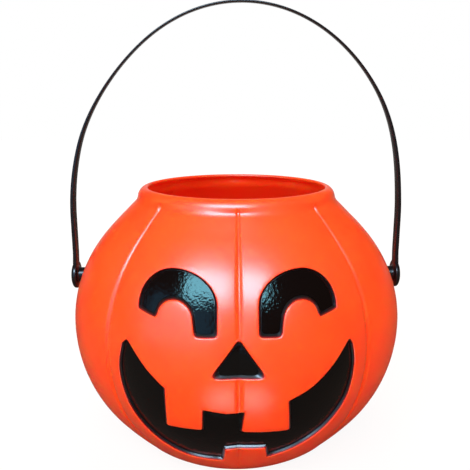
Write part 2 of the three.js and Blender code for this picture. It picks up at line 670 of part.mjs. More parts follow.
// Ribs beside the cells, end walls behind the contacts, and the door screw's boss on a web.
const bayWalls = () => {
  const inner = BAY_HALF_WIDTH;
  const outer = BAY_HALF_WIDTH + BAY_WALL;
  const startX = BAY_START_X - BAY_WALL;
  const endX = BAY_END_X + BAY_WALL;
  const ribs = [[-outer, -inner], [inner, outer]].map(([low, high]) =>
    solid(box([startX, CELL_ROW_Y + low, CUP_ROOT_Z], [endX, CELL_ROW_Y + high, CONTACT_TOP_Z])));
  const walls = [[startX, BAY_START_X], [BAY_END_X, endX]].map(([low, high]) => solid(box(
    [low, CELL_ROW_Y - inner - BAY_WALL / 2, CUP_FLOOR_Z + END_WALL_LIFT],
    [high, CELL_ROW_Y + inner + BAY_WALL / 2, CONTACT_TOP_Z - END_WALL_DROP])));
  const bossBase = CUP_FLOOR_Z + GAP;
  const bossTop = bossBase + DOOR_SCREW_BITE + DOOR_BOSS_ROOF;
  const boss = solid(cylinder(DOOR_BOSS_RADIUS, bossBase, bossTop, DOOR_SCREW_X, CELL_ROW_Y, SMALL_STEPS));
  const wallX = Math.sqrt((CUP_BORE + CUP_WALL / 2) ** 2 - CELL_ROW_Y ** 2);
  const web = solid(box(
    [endX - BAY_WALL / 2, CELL_ROW_Y - BAY_WALL / 2, bossBase],
    [wallX, CELL_ROW_Y + BAY_WALL / 2, bossTop]));
  return joined(...ribs, ...walls, boss, web);
};

const baseHousing = () => {
  const fence = solid(switchBox(GAP + SWITCH_WALL, CUP_ROOT_Z, SWITCH_BASE_Z + SWITCH_HEIGHT / 2));
  const fenceBore = solid(switchBox(GAP, CUP_FLOOR_Z, SWITCH_TOP_Z));
  const body = joined(cup(), bayWalls(), cut(fence, fenceBore));
  const doorway = solid(plate(doorOutline(0), CUP_BASE_Z - CUT_PAST, CUP_FLOOR_Z + GAP));
  const slot = solid(box(
    [-SLOT_HALF_LENGTH, SWITCH_Y - SLOT_HALF_WIDTH, CUP_BASE_Z - CUT_PAST],
    [SLOT_HALF_LENGTH, SWITCH_Y + SLOT_HALF_WIDTH, CUP_FLOOR_Z + CUT_PAST]));
  const doorScrewHole = solid(cylinder(
    DOOR_SCREW_RADIUS + DOOR_SCREW_GAP, CUP_FLOOR_Z, CUP_FLOOR_Z + GAP + DOOR_SCREW_BITE + GAP,
    DOOR_SCREW_X, CELL_ROW_Y, SMALL_STEPS));
  const holes = screwPlaces.map(([x, y]) =>
    solid(cylinder(SCREW_HOLE_RADIUS, FLANGE_BASE_Z - CUT_PAST, FLANGE_TOP_Z + CUT_PAST, x, y, SMALL_STEPS)));
  return cut(body, doorway, slot, doorScrewHole, ...holes);
};

const clampRing = () => {
  const collarRadius = CUP_HOLE_RADIUS + RING_WALL;
  const plateTopZ = RING_BASE_Z + FLANGE_THICKNESS;
  const ring = solid(turned([
    [CUP_HOLE_RADIUS, RING_BASE_Z],
    [FLANGE_RADIUS, RING_BASE_Z],
    [FLANGE_RADIUS, plateTopZ],
    [collarRadius, plateTopZ],
    [collarRadius, RING_BASE_Z + RING_COLLAR_HEIGHT],
    [CUP_HOLE_RADIUS, RING_BASE_Z + RING_COLLAR_HEIGHT],
    [CUP_HOLE_RADIUS, RING_BASE_Z],
  ]));
  const bossRootZ = plateTopZ - FLANGE_THICKNESS / 2;
  const bossTopZ = RING_BASE_Z + SCREW_BOSS_HEIGHT;
  const bosses = screwPlaces.map(([x, y]) =>
    solid(cylinder(SCREW_BOSS_RADIUS, bossRootZ, bossTopZ, x, y, SMALL_STEPS)));
  const holeTopZ = RING_BASE_Z + SCREW_BITE + GAP;
  const holes = screwPlaces.map(([x, y]) =>
    solid(cylinder(SCREW_HOLE_RADIUS, RING_BASE_Z - CUT_PAST, holeTopZ, x, y, SMALL_STEPS)));
  return cut(joined(ring, ...bosses), ...holes);
};

const lens = () => {
  const lipZ = CUP_TOP_Z + GAP;
  const domeZ = lipZ + LENS_WALL;
  const skirtRadius = CUP_BORE - GAP;
  const boreRadius = skirtRadius - LENS_SKIRT_WALL;
  return turned([
    ...arc(0, domeZ, boreRadius, LENS_RISE - LENS_WALL, 90, 0, DOME_STEPS),
    [boreRadius, BOARD_TOP_Z + GAP],
    [skirtRadius, BOARD_TOP_Z + GAP],
    [skirtRadius, lipZ],
    [CUP_RADIUS, lipZ],
    ...arc(0, domeZ, CUP_RADIUS, LENS_RISE, 0, 90, DOME_STEPS),
  ]);
};

const ledPlaces = around(LED_COUNT, 90).map((angle) => [
  LED_CIRCLE * Math.cos(angle),
  LED_CIRCLE * Math.sin(angle),
]);
const pinOffsets = [-LED_PIN_PITCH / 2, LED_PIN_PITCH / 2];

const circuitBoard = () => {
  const holeRadius = LED_PIN * Math.SQRT1_2 + GAP;
  const holes = ledPlaces.flatMap(([x, y]) =>
    pinOffsets.map((offset) => circle(holeRadius, TINY_STEPS, x + offset, y)));
  return plate(circle(CUP_BORE - GAP, ROUND_STEPS), BOARD_Z, BOARD_TOP_Z, holes);
};

const led = (x, y) => {
  const base = BOARD_TOP_Z + GAP;
  const shoulder = base + LED_HEIGHT - LED_RADIUS;
  const body = solid(turned([
    [0, base],
    [LED_FLANGE_RADIUS, base],
    [LED_FLANGE_RADIUS, base + LED_FLANGE_HEIGHT],
    [LED_RADIUS, base + LED_FLANGE_HEIGHT],
    ...arc(0, shoulder, LED_RADIUS, LED_RADIUS, 0, 90, 3),
  ], SMALL_STEPS));
  const half = LED_PIN / 2;
  const pins = pinOffsets.map((offset) => solid(box(
    [offset - half, -half, BOARD_Z - LED_PIN_TAIL],
    [offset + half, half, base + LED_FLANGE_HEIGHT / 2])));
  return toGeometry(joined(body, ...pins).translate([x, y, 0]));
};

const flasherChip = () => {
  const base = BOARD_TOP_Z + GAP;
  return turned([[0, base], ...arc(0, base, CHIP_RADIUS, CHIP_HEIGHT, 0, 90, 3)], SMALL_STEPS);
};

// One button cell, its small negative cap towards -X.
const cell = (k) => {
  const start = -ROW_HALF + k * CELL_PITCH;
  const profile = [
    [0, start],
    [CELL_BUTTON_RADIUS, start],
    [CELL_BUTTON_RADIUS, start + CELL_BUTTON_HEIGHT],
    [CELL_RADIUS, start + CELL_BUTTON_HEIGHT],
    [CELL_RADIUS, start + CELL_THICKNESS],
    [0, start + CELL_THICKNESS],
  ];
  return turned(profile, PIVOT_STEPS).rotateY(Math.PI / 2).translate(0, CELL_ROW_Y, CELL_Z);
};

const contact = (x) => box(
  [x, CELL_ROW_Y - CONTACT_WIDTH / 2, CONTACT_BASE_Z],
  [x + CONTACT_THICKNESS, CELL_ROW_Y + CONTACT_WIDTH / 2, CONTACT_TOP_Z]);

// Middle line of the spring, from the negative contact to the first cell.
class SpringLine extends THREE.Curve {
  getPoint(t, target = new THREE.Vector3()) {
    const angle = 2 * Math.PI * SPRING_TURNS * t;
    const length = SPRING_LENGTH - 2 * SPRING_WIRE_RADIUS;
    const x = NEGATIVE_X + CONTACT_THICKNESS + GAP + SPRING_WIRE_RADIUS + length * t;
    const y = CELL_ROW_Y + SPRING_RADIUS * Math.cos(angle);
    return target.set(x, y, CELL_Z + SPRING_RADIUS * Math.sin(angle));
  }
}

const sweptRound = (curve, radius, sides, steps) => {
  const section = new THREE.Shape(circle(radius, sides));
  return new THREE.ExtrudeGeometry(section, { steps, extrudePath: curve, bevelEnabled: false });
};

const batteryDoor = () => {
  const panel = solid(plate(doorOutline(GAP), CUP_BASE_Z, CUP_FLOOR_Z));
  const edge = BAY_HALF_WIDTH - GAP;
  const postX = BAY_START_X + GAP;
  const tabZ = CUP_FLOOR_Z + GAP;
  const tabTopZ = tabZ + DOOR_TAB_THICKNESS;
  const hooks = [CELL_ROW_Y - edge, CELL_ROW_Y + edge - DOOR_TAB_WIDTH].flatMap((y) => [
    solid(box([postX, y, CUP_ROOT_Z], [postX + DOOR_TAB_THICKNESS, y + DOOR_TAB_WIDTH, tabTopZ])),
    solid(box(
      [BAY_START_X - DOOR_TAB_REACH, y, tabZ],
      [postX + DOOR_TAB_THICKNESS / 2, y + DOOR_TAB_WIDTH, tabTopZ])),
  ]);
  const hole = solid(cylinder(
    DOOR_SCREW_RADIUS + GAP, CUP_BASE_Z - CUT_PAST, CUP_FLOOR_Z + CUT_PAST,
    DOOR_SCREW_X, CELL_ROW_Y, SMALL_STEPS));
  return joined(panel, ...hooks).subtract(hole);
};

// A pan-head screw standing on its head, with its point up and a cross recess in the head.
const screw = (x, y, seatZ, headRadius, headHeight, shankRadius, tipZ) => {
  const headTopZ = seatZ - GAP;
  const headBaseZ = headTopZ - headHeight;
  const body = solid(turned([
    [0, headBaseZ],
    [headRadius * HEAD_CROWN_SHARE, headBaseZ],
    [headRadius, headTopZ - headHeight * HEAD_EDGE_SHARE],
    [headRadius, headTopZ],
    [shankRadius, headTopZ],
    [shankRadius, tipZ - shankRadius],
    [shankRadius / 2, tipZ],
    [0, tipZ],
  ], SMALL_STEPS));
  const reach = headRadius * RECESS_REACH_SHARE;
  const half = (headRadius * RECESS_WIDTH_SHARE) / 2;
  const recessTopZ = headBaseZ + headHeight * RECESS_DEPTH_SHARE;
  const cross = [[reach, half], [half, reach]].map(([halfX, halfY]) =>
    solid(box([-halfX, -halfY, headBaseZ - CUT_PAST], [halfX, halfY, recessTopZ])));
  return cut(body, ...cross).translate([x, y, 0]);
};

const switchBody = () => {
  const bodyBox = solid(switchBox(0, SWITCH_BASE_Z, SWITCH_TOP_Z));
  const halfLength = (KNOB_CARRIAGE_LENGTH + SWITCH_TRAVEL) / 2 + SLIDE_GAP;
  const halfWidth = SWITCH_DEPTH / 2 - SWITCH_WALL;
  const cavity = solid(box(
    [-halfLength, SWITCH_Y - halfWidth, SWITCH_BASE_Z - CUT_PAST],
    [halfLength, SWITCH_Y + halfWidth, SWITCH_BASE_Z + KNOB_CARRIAGE_HEIGHT + 2 * SLIDE_GAP]));
  return bodyBox.subtract(cavity);
};

const switchKnob = () => {
  const carriageZ = CUP_FLOOR_Z + SLIDE_GAP;
  const carriageHalf = SWITCH_DEPTH / 2 - SWITCH_WALL - SLIDE_GAP;
  const carriage = solid(box(
    [KNOB_REST_X - KNOB_CARRIAGE_LENGTH / 2, SWITCH_Y - carriageHalf, carriageZ],
    [KNOB_REST_X + KNOB_CARRIAGE_LENGTH / 2, SWITCH_Y + carriageHalf, carriageZ + KNOB_CARRIAGE_HEIGHT]));
  const stem = solid(box(
    [KNOB_REST_X - KNOB_LENGTH / 2, SWITCH_Y - KNOB_WIDTH / 2, CUP_BASE_Z - KNOB_PROUD],
    [KNOB_REST_X + KNOB_LENGTH / 2, SWITCH_Y + KNOB_WIDTH / 2, carriageZ + KNOB_CARRIAGE_HEIGHT / 2]));
  return joined(carriage, stem);
};

// Wires from the positive contact to the board, from the spring contact to the switch, and from
// the switch to the board. Each ends a clearance short of what it is soldered to.
const SOLDER_Z = CONTACT_TOP_Z - END_WALL_DROP / 2;
const wireRoutes = {
  lead_positive: [
    [POSITIVE_X + CONTACT_THICKNESS + GAP, CELL_ROW_Y, SOLDER_Z],
    [BAY_END_X + BAY_WALL + 0.4, CELL_ROW_Y, SOLDER_Z],
    [BAY_END_X + BAY_WALL + 1.4, CELL_ROW_Y - 0.4, SOLDER_Z + 1.2],
    [BAY_END_X + BAY_WALL + 1.6, CELL_ROW_Y - 0.8, BOARD_Z - GAP],
  ],
  lead_negative: [
    [NEGATIVE_X - GAP, CELL_ROW_Y, SOLDER_Z],
    [BAY_START_X - BAY_WALL - 1.2, CELL_ROW_Y - 1.5, SOLDER_Z],
    [BAY_START_X - BAY_WALL - 1.6, CELL_ROW_Y - 8, SOLDER_Z - 0.5],
    [-SWITCH_LENGTH, SWITCH_Y + 4, SWITCH_TOP_Z + 2.6],
    [-SWITCH_LENGTH / 3, SWITCH_Y, SWITCH_TOP_Z + 2],
    [-SWITCH_LENGTH / 3, SWITCH_Y, SWITCH_TOP_Z + GAP],
  ],
  lead_switched: [
    [SWITCH_LENGTH / 3, SWITCH_Y, SWITCH_TOP_Z + GAP],
    [SWITCH_LENGTH / 3, SWITCH_Y, SWITCH_TOP_Z + 3],
    [SWITCH_LENGTH / 3 + 1, SWITCH_Y + 1.5, BOARD_Z - 3.5],
    [SWITCH_LENGTH / 3 + 1, SWITCH_Y + 1.8, BOARD_Z - GAP],
  ],
};

const wire = (route) => {
  const curve = new THREE.CatmullRomCurve3(route.map((point) => new THREE.Vector3(...point)));
  return sweptRound(curve, WIRE_RADIUS, TINY_STEPS, WIRE_STEPS);
};

// Assembly

const coated = (color, roughness, metalness = 0) =>
  new THREE.MeshStandardMaterial({ color, roughness, metalness });

const finishes = {
  orange: () => coated("#f4511e", 0.42),
  blackPaint: () => coated("#120d0c", 0.18),
  blackPlastic: () => coated("#1c1715", 0.4),
  housing: () => coated("#24211f", 0.5),
  lens: () => coated("#f2ead8", 0.35),
  board: () => coated("#1f6b3a", 0.5),
  led: () => coated("#f4e3b0", 0.15),
  chip: () => coated("#101012", 0.35),
  steel: () => coated("#b8babd", 0.3, 1),
  nickel: () => coated("#c9c6bd", 0.28, 1),
  redWire: () => coated("#b3201b", 0.45),
  blackWire: () => coated("#191919", 0.45),
};

const root = new THREE.Group();
root.name = "pumpkin_pail";

const addPart = (name, shape, finish) => {
  const geometry = shape.isBufferGeometry ? closed(shape) : toGeometry(shape);
  geometry.computeVertexNormals();
  const mesh = new THREE.Mesh(geometry, finish());
  mesh.name = name;
  root.add(mesh);
};

addPart("pail_shell", pailShell(), finishes.orange);
Object.entries(faceOutlines).forEach(([name, outline]) =>
  addPart(`${name}_paint`, faceFilm(outline), finishes.blackPaint));
addPart("handle", handle(), finishes.blackPlastic);

addPart("base_housing", baseHousing(), finishes.housing);
addPart("clamp_ring", clampRing(), finishes.housing);
addPart("lens", lens(), finishes.lens);
addPart("circuit_board", circuitBoard(), finishes.board);
ledPlaces.forEach(([x, y], k) => addPart(`led_${k + 1}`, led(x, y), finishes.led));
addPart("flasher_chip", flasherChip(), finishes.chip);
addPart("switch_body", switchBody(), finishes.steel);
addPart("switch_knob", switchKnob(), finishes.blackPlastic);

Array.from({ length: CELL_COUNT }, (_, k) => addPart(`cell_${k + 1}`, cell(k), finishes.nickel));
addPart("contact_positive", contact(POSITIVE_X), finishes.nickel);
addPart("contact_negative", contact(NEGATIVE_X), finishes.nickel);
addPart("battery_spring", sweptRound(
  new SpringLine(), SPRING_WIRE_RADIUS, TINY_STEPS, SPRING_STEPS * SPRING_TURNS), finishes.nickel);
addPart("battery_door", batteryDoor(), finishes.housing);
addPart("door_screw", screw(
  DOOR_SCREW_X, CELL_ROW_Y, CUP_BASE_Z, DOOR_SCREW_HEAD_RADIUS, DOOR_SCREW_HEAD_HEIGHT,
  DOOR_SCREW_RADIUS, CUP_FLOOR_Z + GAP + DOOR_SCREW_BITE), finishes.steel);
screwPlaces.forEach(([x, y], k) => addPart(`housing_screw_${k + 1}`, screw(
  x, y, FLANGE_BASE_Z, SCREW_HEAD_RADIUS, SCREW_HEAD_HEIGHT,
  SCREW_RADIUS, RING_BASE_Z + SCREW_BITE), finishes.steel));
Object.entries(wireRoutes).forEach(([name, route]) => addPart(
  name, wire(route), name === "lead_positive" ? finishes.redWire : finishes.blackWire));

export default root;
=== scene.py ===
"""Light-up pumpkin pail: a ribbed pail with a painted jack-o'-lantern face, a snap-in strip
handle and a battery light unit in its floor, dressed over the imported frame."""

import math

import bmesh
import bpy
from bpy.props import FloatProperty, FloatVectorProperty, IntProperty, PointerProperty
from mathutils import Matrix, Vector
from mathutils.geometry import delaunay_2d_cdt
from mathutils.kdtree import KDTree


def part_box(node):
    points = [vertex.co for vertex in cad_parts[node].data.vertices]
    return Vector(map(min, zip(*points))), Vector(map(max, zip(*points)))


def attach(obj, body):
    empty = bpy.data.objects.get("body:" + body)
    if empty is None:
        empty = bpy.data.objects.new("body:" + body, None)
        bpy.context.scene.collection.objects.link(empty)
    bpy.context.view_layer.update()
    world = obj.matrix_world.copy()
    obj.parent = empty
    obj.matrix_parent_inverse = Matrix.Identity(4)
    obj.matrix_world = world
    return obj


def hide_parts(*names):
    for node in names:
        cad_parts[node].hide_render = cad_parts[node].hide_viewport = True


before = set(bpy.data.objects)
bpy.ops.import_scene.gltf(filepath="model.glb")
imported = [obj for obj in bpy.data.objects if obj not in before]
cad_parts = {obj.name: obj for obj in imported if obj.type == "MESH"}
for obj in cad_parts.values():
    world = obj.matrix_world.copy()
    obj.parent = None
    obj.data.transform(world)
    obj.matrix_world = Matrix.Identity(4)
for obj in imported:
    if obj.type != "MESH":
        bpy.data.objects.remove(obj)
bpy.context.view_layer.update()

bl_info = {
    "name": "Light-up Pumpkin Pail",
    "version": (1, 0, 0),
    "blender": (4, 5, 0),
    "location": "View3D > Sidebar > Pumpkin Pail",
    "description": "Builds a ribbed pumpkin pail with its handle and its battery light unit",
    "category": "Add Mesh",
}

MM = 0.001
PAST = 1 * MM  # how far a cutting shape runs past the surface that it cuts
MERGE = 1e-6  # corners closer than this are one
ROUND_STEPS = 96  # round the cup, its ring and the lens
HOLE_STEPS = 24  # round the housing screws' holes


def linear(code):
    """Linear RGB of an sRGB hex colour."""
    channels = [int(code[k:k + 2], 16) / 255 for k in (1, 3, 5)]
    return tuple(c / 12.92 if c <= 0.04045 else ((c + 0.055) / 1.055) ** 2.4 for c in channels)


def length(label, millimetres, text):
    """A length that the user can set."""
    return FloatProperty(name=label, description=text, default=millimetres * MM, unit="LENGTH", precision=4)


def count(label, number, text):
    """A whole number that the user can set."""
    return IntProperty(name=label, description=text, default=number, min=1)


def colour(label, code, text):
    """A colour that the user can set, from its sRGB hex value."""
    return FloatVectorProperty(
        name=label, description=text, default=linear(code), subtype="COLOR", size=3, min=0.0, max=1.0)


class PailSizes(bpy.types.PropertyGroup):
    """Sizes of the moulded pail."""

    body_radius: length("Body radius", 101.6, "Crest of the lobes at the widest point")
    widest_z: length("Widest height", 80, "Height of the widest point")
    height: length("Pail height", 160, "Height of the rim")
    lower_overrun: length("Lower overrun", 16.7, "How far below the table the lower half ellipse would end")
    upper_overrun: length("Upper overrun", 8.9, "How far above the rim the upper half ellipse would end")
    wall: length("Wall", 1.8, "Wall thickness of the body")
    lobes: count("Lobes", 8, "Lobes round the body")
    groove_depth: length("Groove depth", 3, "How far the skin draws in between two lobes")
    collar_groove_depth: length("Groove depth at the collar", 1, "What is left of the groove under the rim")
    groove_fade: length("Groove fade", 20, "Height over which a groove fades at the foot and the collar")
    channel_depth: length("Channel depth", 0.9, "Depth of the narrow channel along a groove")
    channel_width: length("Channel width", 3.4, "Width of the narrow channel along a groove")
    bore_radius: length("Bore radius", 54.6, "Inside of the rim")
    lip_radius: length("Lip radius", 0.9, "Rounding of the rim's inner top edge")
    lip_drop: length("Lip drop", 0.5, "Straight bore under the rim's lip")
    bead_width: length("Bead width", 6.2, "How far the rounded collar swells out from the bore")
    collar_height: length("Collar height", 6.8, "From the shoulder up to the rim's top")
    notch_height: length("Notch height", 2.5, "How far the grooves run up into the bead")
    shoulder_height: length("Shoulder height", 10.2, "Straight shoulder under the collar")
    floor_z: length("Floor height", 9, "Underside of the raised floor")
    body_start_z: length("Body start", 2.5, "Where the body leaves the foot's rounded edge")
    foot_inset: length("Foot inset", 6, "From the body's lowest row in to the foot's flat ring")
    foot_width: length("Foot width", 6.3, "Width of the foot's flat ring")
    foot_lean: length("Foot lean", 4.5, "How far the wall from foot to floor leans in")
    screw_hole_radius: length("Screw hole radius", 1.6, "Holes in the floor for the housing's screws")


class FaceSizes(bpy.types.PropertyGroup):
    """Sizes of the pressed and painted face."""

    pocket_depth: length("Pocket depth", 2.2, "How far the face is pressed into the wall")
    paint_thickness: length("Paint thickness", 0.3, "Thickness of the paint on a pocket's floor")
    lip_rounding: length("Lip rounding", 0.8, "Rounding of a pocket's upper edge")
    wall_lean: length("Wall lean", 1.1, "How far a pocket's wall leans in from its lip to its floor")
    paint_margin: length("Paint margin", 0.1, "Strip between the paint and a pocket's wall")
    floor_corner: length("Floor corner", 0.2, "Height of the rounded corner round a pocket's floor")
    axis_x: length("Face axis", -0.6, "Middle of the face, right of the pail's middle")
    low_z: length("Face window bottom", 14, "Lower edge of the front that carries the face")
    high_z: length("Face window top", 134, "Upper edge of the front that carries the face")
    point_spacing: length("Point spacing", 0.9, "Spacing of the points along a pocket's edge")


class HandleSizes(bpy.types.PropertyGroup):
    """Sizes of the strip handle and of its pivots."""

    pivot_rise: length("Pivot rise", 22.5, "Pivot axis above the widest point")
    seat_inset: length("Seat inset", 6.6, "From the crest radius in to the flat pivot seat")
    seat_margin: length("Seat margin", 0.6, "Seat round the hub")
    pad_rim: length("Pad rim", 1.2, "Wall round the flat seat")
    pad_depth: length("Pad depth", 8, "How far the pad reaches into the leaning side")
    standoff: length("Strip stand-off", 7.2, "From the flat seat out to the strip's middle")
    thickness: length("Strip thickness", 1.7, "Thickness of the strip")
    arch_thickness: length("Arch thickness", 1.1, "Thickness of the strip over the arch")
    width: length("Strip width", 7.6, "Width of the strip")
    arch_width: length("Arch width", 5.4, "Width of the strip at its top")
    leg_swell: length("Leg swell", 0.6, "How much thicker the legs are on their inner side")
    lean: length("Arch lean", 3.3, "How far the flexible arch leans to the right")
    right_lean_low: length("Right lean starts", 10, "Where the right side starts to lean, above the legs")
    right_lean_high: length("Right lean ends", 78, "Where the right side's lean is full, above the legs")
    left_lean_low: length("Left lean starts", 45, "Where the left side starts to lean, above the legs")
    left_lean_high: length("Left lean ends", 105, "Where the left side's lean is full, above the legs")
    edge: length("Strip edge", 0.45, "Rounding of the strip's long edges")
    leg_height: length("Leg height", 37.5, "Straight part of a leg above the pivot")
    top_z: length("Handle top", 268, "Top of the handle when upright")
    fillet_height: length("Fillet height", 7, "Height over which the strip thickens down to the tab")
    fillet_drop: length("Fillet drop", 2, "How far that thickening runs on below the tab's top")
    strip_foot: length("Strip foot", 4, "How far the strip runs down past the pivot, inside the tab")
    tab_radius: length("Tab radius", 8.6, "Round tab at each end")
    tab_proud: length("Tab proud", 1.25, "How far the tab's domed face stands out of the strip")
    tab_dome_width: length("Tab dome width", 4, "Width of the rounding of the tab's face")
    tab_dome_height: length("Tab dome height", 2, "How far the tab's face falls off at its edge")
    tab_back: length("Tab back", 0.4, "How far the tab's flat face lies inside the strip's inner one")
    tab_edge: length("Tab edge", 0.5, "Rounding of the tab's inner edge")
    hub_radius: length("Hub radius", 4.6, "Hub between the tab and the seat")
    hub_fillet: length("Hub fillet", 1.4, "Hollow fillet from the hub to the tab")
    stud_radius: length("Stud radius", 3.1, "Shank of the snap stud")
    stud_head_radius: length("Stud head radius", 4.3, "Barb of the snap stud")
    stud_head_length: length("Stud head length", 2.8, "Length of the stud's barbed head")
    stud_head_land: length("Stud head land", 0.7, "Straight part of the stud's head")
    gap: length("Running gap", 0.3, "Clearance at the seat and the stud")


class LampSizes(bpy.types.PropertyGroup):
    """Sizes of the light unit clamped in the pail's floor."""

    gap: length("Gap", 0.3, "Clearance between pieces that touch or are fastened together")
    edge: length("Edge", 0.35, "Rounding of moulded edges")
    cup_wall: length("Cup wall", 1.8, "Wall of the cup")
    base_thickness: length("Base thickness", 1.6, "Floor of the cup")
    flange_thickness: length("Flange thickness", 1.6, "Flange under the pail's floor, and the ring's plate")
    ledge_width: length("Ledge width", 2.4, "Ledge that carries the board")
    ledge_thickness: length("Ledge thickness", 1.2, "Thickness of the ledge")
    ring_wall: length("Ring wall", 1.2, "Wall of the clamp ring's collar")
    ring_collar: length("Ring collar", 3, "Height of the clamp ring's collar")
    screw_boss: length("Screw boss", 3.4, "Radius of the clamp ring's bosses")
    lens_wall: length("Lens wall", 1.4, "Wall of the lens")
    lens_skirt: length("Lens skirt", 1.3, "Wall of the skirt that plugs into the cup")
    lens_rise: length("Lens rise", 13, "Height of the dome")
    row_y: length("Cell row", 8.6, "Middle of the row of cells, behind the unit's middle")
    bay_start: length("Bay start", -13.1, "Spring end of the battery bay")
    bay_end: length("Bay end", 9.4, "Plain end of the battery bay")
    bay_half: length("Bay half width", 6.1, "Half the width of the battery bay")
    bay_wall: length("Bay wall", 1.2, "Walls round the battery bay")
    ear_half: length("Ear half width", 3.4, "Half the width of the door's narrow ear")
    ear_end: length("Ear end", 18.4, "End of the opening for the door's ear")
    door_screw_x: length("Door screw", 15, "Place of the door's screw along the cell row")
    door_boss: length("Door boss", 2.7, "Radius of the boss that the door's screw bites into")
    door_screw_hole: length("Door screw hole", 1.5, "Radius of the hole in that boss")
    tab_reach: length("Tab reach", 1.3, "How far the door's hooks reach past the bay's end")
    tab_width: length("Tab width", 1.2, "Width of the door's hooks")
    tab_thickness: length("Tab thickness", 0.9, "Thickness of the door's hooks")
    grip_pitch: length("Grip pitch", 2.2, "Spacing of the grip grooves in the door")
    grip_count: count("Grips", 5, "Grip grooves in the door")
    grip_width: length("Grip width", 0.9, "Width of a grip groove")
    grip_half: length("Grip half length", 3.6, "Half the length of a grip groove")
    grip_depth: length("Grip depth", 0.45, "Depth of the grip grooves")
    grip_margin: length("Grip margin", 3, "From the end of the door's wide part to the first groove")
    door_corner: length("Door corner", 0.5, "Rounding of the door's corners")
    end_wall_lift: length("End wall lift", 2.2, "Gap under the bay's end walls")
    end_wall_drop: length("End wall drop", 2.4, "How far the end walls stay below the bay's top")
    boss_roof: length("Boss roof", 1.3, "Height of the door screw's boss past the screw")
    fence_wall: length("Fence wall", 0.8, "Wall of the fence round the switch")
    slot_half_length: length("Slot half length", 3.45, "Half the length of the knob's slot")
    slot_half_width: length("Slot half width", 1.55, "Half the width of the knob's slot")
    slot_over: length("Slot over", 0.2, "How far the slot's cut runs above the cup's floor")
    rib_edge: length("Rib edge", 0.2, "Rounding of the bay's ribs, the door, its grooves and the switch")
    thin_edge: length("Thin edge", 0.1, "Rounding of the thinnest walls and the hooks")
    contact_edge: length("Contact edge", 0.12, "Rounding of the contact strips")
    cell_button: length("Cell cap", 3.6, "Radius of a cell's raised cap")
    cell_step: length("Cell step", 0.4, "Height of a cell's raised cap")
    shank: length("Screw shank", 1.3, "Radius of the housing screws")
    door_shank: length("Door screw shank", 1, "Radius of the door's screw")
    head_height: length("Screw head", 1.5, "Height of the housing screws' heads")
    door_head_height: length("Door screw head", 1.1, "Height of the door screw's head")
    thread_pitch: length("Thread pitch", 0.8, "Spacing of the threads")


class PailColours(bpy.types.PropertyGroup):
    """Colours of the finishes."""

    orange: colour("Shell orange", "#FF4C08", "Pigmented polyethylene of the pail")
    deep_orange: colour("Deep orange", "#F43C08", "Slightly denser pigment in patches")
    paint: colour("Face paint", "#0B0504", "Glossy black paint in the face's pockets")
    # Dark red of the pocket walls: partly a thin veil of black spray, partly painted shade.
    thin_paint_and_shade: colour("Thin paint", "#7A0F0A", "Orange plastic under a thin veil of the black paint")
    handle: colour("Handle black", "#120D0C", "Pigmented plastic of the handle")
    housing: colour("Housing black", "#211F1E", "Pigmented plastic of the light unit")
    lens: colour("Lens", "#F4EEDF", "Milky plastic of the lens")
    board: colour("Board", "#1F6B3A", "Green solder mask")
    copper: colour("Traces", "#3F9A57", "Copper traces under the solder mask")
    led: colour("Lamp epoxy", "#F6E6B8", "Tinted epoxy of the small lamps")
    chip: colour("Chip epoxy", "#101012", "Black epoxy drop over the flasher")
    nickel: colour("Nickel", "#C9C6BD", "Nickel plating of the cells, strips and spring")
    zinc: colour("Zinc", "#B8BABD", "Zinc plating of the screws and the switch")
    red_wire: colour("Red wire", "#B3201B", "Insulation of the positive lead")
    black_wire: colour("Black wire", "#191919", "Insulation of the other leads")
    floor: colour("Floor", "#4A3C32", "Plain studio floor, white to the eye")


# Shape tools


def smooth_step(low, high, value):
    """0 below low, 1 above high, and a smooth rise between them."""
    share = min(max((value - low) / (high - low), 0.0), 1.0)
    return share * share * (3 - 2 * share)


def ellipse(x, z, semi_x, semi_z, start, end, steps):
    """Points on part of an ellipse, from one angle to another in degrees."""
    angles = [math.radians(start + (end - start) * k / steps) for k in range(steps + 1)]
    return [(x + semi_x * math.cos(angle), z + semi_z * math.sin(angle)) for angle in angles]


def curved(start, corner, end, shares):
    """Points on the curve that sets out towards the corner and arrives from it."""
    return [start * (1 - t) ** 2 + corner * 2 * t * (1 - t) + end * t * t for t in shares]


def spline(points, steps):
    """Points on a smooth line through the given points, spaced evenly in its parameter."""
    line = []
    for k in range(steps + 1):
        place = (len(points) - 1) * k / steps
        at = min(int(place), len(points) - 2)
        t = place - at
        near = [Vector(points[min(max(at + j, 0), len(points) - 1)]) for j in (-1, 0, 1, 2)]
        before = (near[2] - near[0]) / 2
        after = (near[3] - near[1]) / 2
        bend = near[1] + before * t
        bend += (3 * (near[2] - near[1]) - 2 * before - after) * t ** 2
        bend += (2 * (near[1] - near[2]) + before + after) * t ** 3
        line.append(tuple(bend))
    return line


def spun(profile, steps):
    """A closed solid: a profile of (radius, height) turned about Z."""
    bm = bmesh.new()
    verts = [bm.verts.new((0.0, -radius, z)) for radius, z in profile]
    edges = [bm.edges.new(pair) for pair in zip(verts, verts[1:])]
    if profile[0][0] > MERGE:
        edges.append(bm.edges.new((verts[-1], verts[0])))
    bmesh.ops.spin(
        bm, geom=verts + edges, cent=(0, 0, 0), axis=(0, 0, 1), angle=math.tau, steps=steps, use_merge=True)
    bmesh.ops.remove_doubles(bm, verts=bm.verts, dist=MERGE)
    bmesh.ops.recalc_face_normals(bm, faces=bm.faces)
    return bm


def cylinder(radius, low, high, steps=64):
    """A closed cylinder about Z."""
    bm = bmesh.new()
    bmesh.ops.create_cone(
        bm, cap_ends=True, segments=steps, radius1=radius, radius2=radius, depth=high - low,
        matrix=Matrix.Translation((0, 0, (low + high) / 2)))
    return bm


